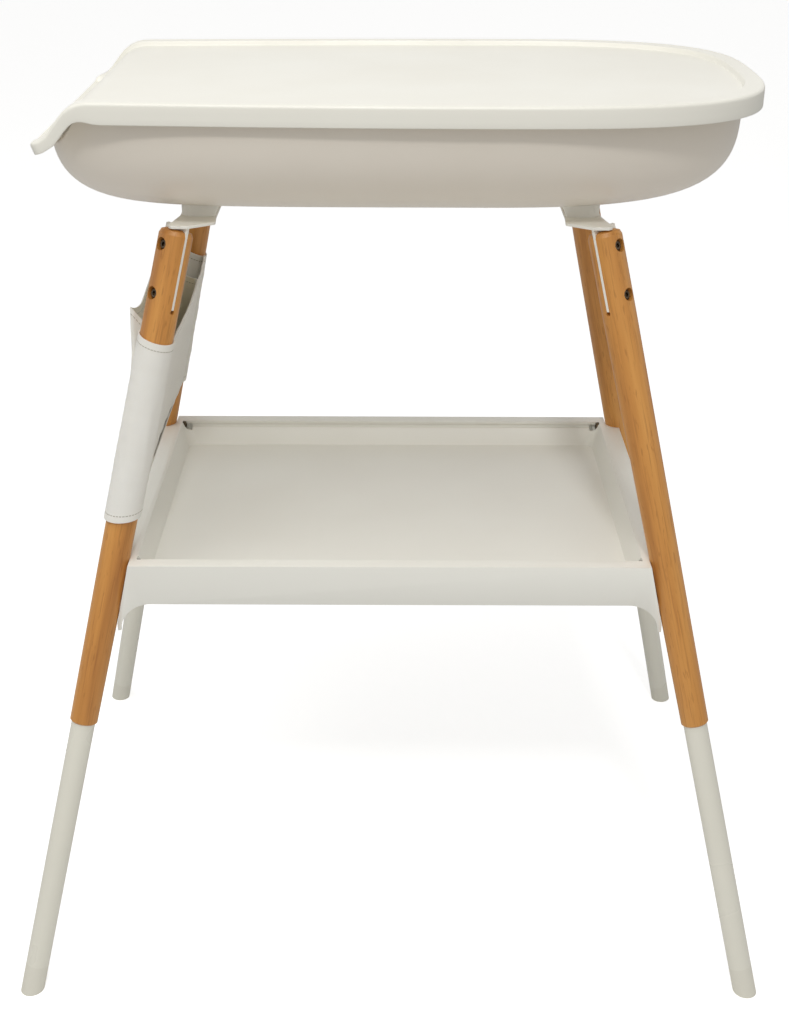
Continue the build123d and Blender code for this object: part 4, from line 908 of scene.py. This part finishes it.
def panel_grid():
    """The inner panel from the front sleeve to the rear one."""
    y_share = np.linspace(-1, 1, 110)[None, :]
    share = np.linspace(0, 1, 80)[:, None]
    rear = (y_share + 1) / 2
    low = SLEEVES[-1][0] * (1 - rear) + SLEEVES[1][0] * rear
    top = SLEEVES[-1][2] * (1 - rear) + SLEEVES[1][2] * rear
    z = low + (top - low) * share
    half = FOOT_Y - LEAN * z - PANEL_END
    y = y_share * half
    folds = PANEL_FOLD * ripple(y, z, 11) * np.minimum(1, (1 - np.abs(y_share)) * 4)
    x = plane_x(z) + PANEL_IN + pull(y, z) + folds
    mid = np.stack(np.broadcast_arrays(x, y, z), axis=-1)
    flat = np.stack(np.broadcast_arrays(y, z), axis=-1)
    edge = np.minimum(np.minimum(top - z, z - low), (half - np.abs(y)) + 0.001)
    run = np.where(np.minimum(top - z, z - low) < half - np.abs(y), y, z)
    return mid, flat, edge, run


mid, flat, edge, run = panel_grid()
piece = cloth_piece("panel_cloth", mid, flat, edge, run)
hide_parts("pouch_panel")

# %% Bag
BAG_LOW, BAG_HIGH, BAG_NEAR, BAG_SAG, BAG_R = 0.5488, 0.737, 0.700, 0.031, 0.005
BAG_SHARES, BAG_OUTS = [0.0, 0.25, 0.5, 0.75, 1.0], [0.004, 0.0115, 0.018, 0.025, 0.0355]
FLOOR_ROWS, WALL_ROWS = 12, 62
BAG_IN, BAG_TRIM, BAG_END = 0.0142, 0.0008, 0.0203
BAG_RIPPLE, BAG_BELLY, BAG_FOLD, BAG_FLOOR_SAG = 0.0014, 0.0050, 0.0075, 0.0035


def bag_grid():
    """Rows of the bag: its bottom from the middle outwards, then its walls up to the rim."""
    rows, heights = [], []
    steps = [(0.0, k) for k in np.linspace(0.03, 1, FLOOR_ROWS)]
    steps += [(s, 1.0) for s in np.linspace(0, 1, WALL_ROWS)]
    for share, shrink in steps:
        level = BAG_LOW + (BAG_HIGH - BAG_LOW) * share
        near = plane_x(level) + BAG_IN
        far = plane_x(level) - np.interp(share, BAG_SHARES, BAG_OUTS) + BAG_TRIM
        half = FOOT_Y - LEAN * level - BAG_END
        ring = rounded_loop(near, far, half, BAG_R, 44, 8)
        middle = np.array([(near + far) / 2, 0.0])
        rows.append(middle + (ring - middle) * shrink)
        heights.append(np.full(len(ring), share))
    plan, share = np.array(rows), np.array(heights)
    top_ring = plan[-1]
    half = np.abs(top_ring[:, 1]).max()
    rim = BAG_HIGH - BAG_SAG * (1 - (np.abs(top_ring[:, 1]) / half) ** 1.35)
    near_x, far_x = top_ring[:, 0].max(), top_ring[:, 0].min()
    toward_leg = (top_ring[:, 0] - far_x) / (near_x - far_x)
    rim = rim + (BAG_NEAR - rim) * (1 - (1 - toward_leg) ** 1.6)
    z = BAG_LOW + (rim - BAG_LOW) * share
    x = plan[..., 0] + LEAN * (z - (BAG_LOW + (BAG_HIGH - BAG_LOW) * share))
    y = plan[..., 1]
    row_half = np.maximum(np.abs(y).max(axis=1, keepdims=True), 1e-6)
    aside = np.abs(y) / row_half
    middle = (x.max(axis=1, keepdims=True) + x.min(axis=1, keepdims=True)) / 2
    span = (x.max(axis=1, keepdims=True) - x.min(axis=1, keepdims=True)) / 2
    across = np.clip((x - middle) / span, -1, 1)
    on_wall = (np.arange(len(steps)) >= FLOOR_ROWS)[:, None]
    wall = on_wall * np.sin(np.clip(share * 1.12, 0, 1) * math.pi) ** 0.6
    belly = smoothstep((-across - 0.3) / 0.6) * np.cos(aside * math.pi / 2) * wall
    inner = smoothstep((across - 0.3) / 0.6)
    fold = smoothstep((aside - 0.93) / 0.07) * (1 - np.abs(across)) * share
    lean_in = inner * (pull(y, z) - 0.0006) * on_wall
    ripples = BAG_RIPPLE * ripple(y * 0.8, z, 23) * wall * (1 - inner)
    x = x - BAG_BELLY * belly + lean_in + ripples * smoothstep((-across - 0.3) / 0.6)
    y = y - np.sign(y) * BAG_FOLD * fold
    z = z - BAG_FLOOR_SAG * np.cos(aside * math.pi / 2) * (share == 0) * (1 - across**2)
    mid = np.stack([x, y, z], axis=-1)
    around = np.concatenate([[0], np.cumsum(np.linalg.norm(np.diff(top_ring, axis=0), axis=1))])
    flat = np.stack(np.broadcast_arrays(around[None, :], z), axis=-1)
    flat[:FLOOR_ROWS] = np.stack([x[:FLOOR_ROWS], y[:FLOOR_ROWS]], axis=-1)
    edge = np.where(on_wall, rim[None, :] - z, 0.1)
    return mid, flat, edge, np.broadcast_to(around[None, :], edge.shape)


# The bag's inner faces are the same canvas, painted darker and warmer as painted shade inside the bag, and
# strongly translucent.
inside_painted_shade = canvas("pouch lining", srgb(240, 233, 214), srgb(230, 221, 200), 0.85)
mid, flat, edge, run = bag_grid()
piece = cloth_piece("bag_cloth", mid, flat, edge, run, wrap=True, inside_painted_shade=inside_painted_shade)
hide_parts("pouch_bag")

# %% Studs
STUD_TALL, STUD_GAP = 0.0021, 0.0022
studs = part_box("pouch_studs")
stud_x = (studs[0][0] + studs[1][0]) / 2
dome = [(0, 0.0), (3.4, 0.0), (4.0, 0.4), (4.1, 0.9), (3.7, 1.5), (3.0, 1.8), (2.4, 1.7), (1.9, 1.9),
        (0, 2.1)]
grids = []
for sy in (-1, 1):
    face_y = studs[0][1] + STUD_TALL if sy < 0 else studs[1][1] - STUD_TALL
    face = (stud_x, face_y, (studs[0][2] + studs[1][2]) / 2)
    grids.append(turned(dome, face, (0, sy, LEAN)))
    grids.append(turned(dome, np.array(face) - np.array([0, sy, LEAN]) * STUD_GAP, (0, -sy, -LEAN)))
plain("stud_caps", ["pouch_studs"], grids, stud_metal)

# %% [markdown]
# ## Finishes on the construction
# The remaining pieces are right as they are built. The moulded shelf and the brackets get rounded
# edges on a copy, small blocks bridge the pockets in the shelf's corners, and the others get only
# their finish.

# %% Rounded copies and plain finishes
def finish(name, material):
    """Put a finish on a construction piece."""
    NODES[name].data.materials.clear()
    NODES[name].data.materials.append(material)


for name, width in (("shelf", 0.0016), ("bracket_left", 0.0010), ("bracket_right", 0.0010)):
    piece = softened(name, width)
    piece.data.materials.append(shelf_plastic if name == "shelf" else bracket_coat)
    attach(piece, "stand")

BRIDGE_X, BRIDGE_Y, BRIDGE_Z = (0.2520, 0.2650), (0.1872, 0.1935), (0.4843, 0.48795)
grids = []
for sx, sy in CORNERS.values():
    xs, ys = sorted(sx * x for x in BRIDGE_X), sorted(sy * y for y in BRIDGE_Y)
    grids.append(slab((xs[0], ys[0], BRIDGE_Z[0]), (xs[1], ys[1], BRIDGE_Z[1]), 0.0008))
bridges = skin("shelf_pocket_bridges", grids)
bridges.data.materials.append(shelf_plastic)
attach(bridges, "stand")

for index, (corner, (sx, sy)) in enumerate(CORNERS.items()):
    finish("leg_" + corner, beech("beech " + corner, sx, sy, 0.37 * index))
    finish("leg_tube_" + corner, tube_coat)
    finish("foot_cap_" + corner, foot_plastic)

PLAIN = {
    bolt_steel_painted_shade: ["leg_bolts", "leg_nuts", "shelf_bolts", "shelf_inserts", "bracket_screws"],
    hinge_steel: ["hinge_top_leaf_left", "hinge_top_leaf_right", "hinge_tub_leaf_left",
                  "hinge_tub_leaf_right", "hinge_pin_left", "hinge_pin_right", "hinge_top_screws",
                  "hinge_tub_screws", "drain_outlet"],
    seal_rubber: ["drain_seal", "drain_washer", "top_stops"],
    plug_rubber: ["drain_plug"],
    tub_plastic: ["drain_nut"],
    stud_metal: ["pouch_studs"],
    cloth: ["pouch_sleeve_front", "pouch_sleeve_rear", "pouch_panel", "pouch_bag"],
}
for material, names in PLAIN.items():
    for name in names:
        finish(name, material)
print("finished", sum(len(v) for v in PLAIN.values()) + 3 * len(CORNERS), "construction pieces")

# %% [markdown]
# ## Camera, light and floor
# The camera stands where the photograph was taken from, worked out from the four equal legs. The
# light is a soft sky, a broad lamp above and a small one in front for the shadow under the top's
# skirt. The floor is pale, and its glow for camera rays brings it close to white.

# %% Camera
CAMERA_AT = (0.0045, -1.556, 1.220)
PITCH, YAW, ROLL = 26.28, -0.014, 0.19
FOCAL_PX, FRAME_H_PX, SENSOR = 1484.0, 1024.0, 24.0

camera = placed("camera", bpy.data.cameras.new("camera"))
camera.data.sensor_fit = "VERTICAL"
camera.data.sensor_height = SENSOR
camera.data.lens = FOCAL_PX / FRAME_H_PX * SENSOR
turn = (Matrix.Rotation(math.radians(YAW), 4, "Z") @ Matrix.Rotation(math.radians(90 - PITCH), 4, "X")
        @ Matrix.Rotation(math.radians(ROLL), 4, "Z"))
camera.matrix_world = Matrix.Translation(CAMERA_AT) @ turn
bpy.context.scene.camera = camera
print("lens", round(camera.data.lens, 2), "mm")

# %% Light and surroundings
scene = bpy.context.scene
scene.view_settings.view_transform = "Standard"
SKY, LAMP_W, FRONT_W, FLOOR_GLOW = 0.42, 29.0, 22.5, 0.585

world = bpy.data.worlds.new("sky")
scene.world = world
world.use_nodes = True
tree = world.node_tree
background = tree.nodes["Background"]
path = node(tree, "ShaderNodeLightPath").outputs
seen = maths(tree, "MAXIMUM", path["Is Camera Ray"], path["Is Transmission Ray"])
seen = maths(tree, "MAXIMUM", seen, path["Is Glossy Ray"])
feed(background, Strength=remap(tree, seen, SKY, 1.0), Color=(1.0, 0.995, 0.985, 1.0))


def lamp(name, place, target, size, watts):
    """Square soft lamp at a place, turned to a target."""
    data = bpy.data.lights.new(name, "AREA")
    data.shape = "SQUARE"
    data.size = size
    data.energy = watts
    made = placed(name, data)
    made.location = place
    made.rotation_euler = (Vector(target) - Vector(place)).to_track_quat("-Z", "Y").to_euler()


lamp("above", (-0.6, -0.9, 3.0), (0, 0, 0.6), 2.0, LAMP_W)
lamp("front", (0.12, -2.35, 3.14), (0, 0, 0.75), 0.35, FRONT_W)

floor_mesh = bpy.data.meshes.new("floor")
FLOOR_HALF = 30.0
floor_mesh.from_pydata([(x, y, 0.0) for x, y in ((-1, -1), (1, -1), (1, 1), (-1, 1))], [], [(0, 1, 2, 3)])
floor_mesh.transform(Matrix.Scale(FLOOR_HALF, 4))
floor = placed("floor", floor_mesh)
pale, tree, shader = new_material("floor")
path = node(tree, "ShaderNodeLightPath").outputs
glow = maths(tree, "MULTIPLY", path["Is Camera Ray"], FLOOR_GLOW)
feed(shader, Base_Color=(0.86, 0.86, 0.855, 1), Roughness=0.9, Specular_IOR_Level=0.1,
     Emission_Color=(1, 1, 1, 1), Emission_Strength=glow)
floor_mesh.materials.append(pale)
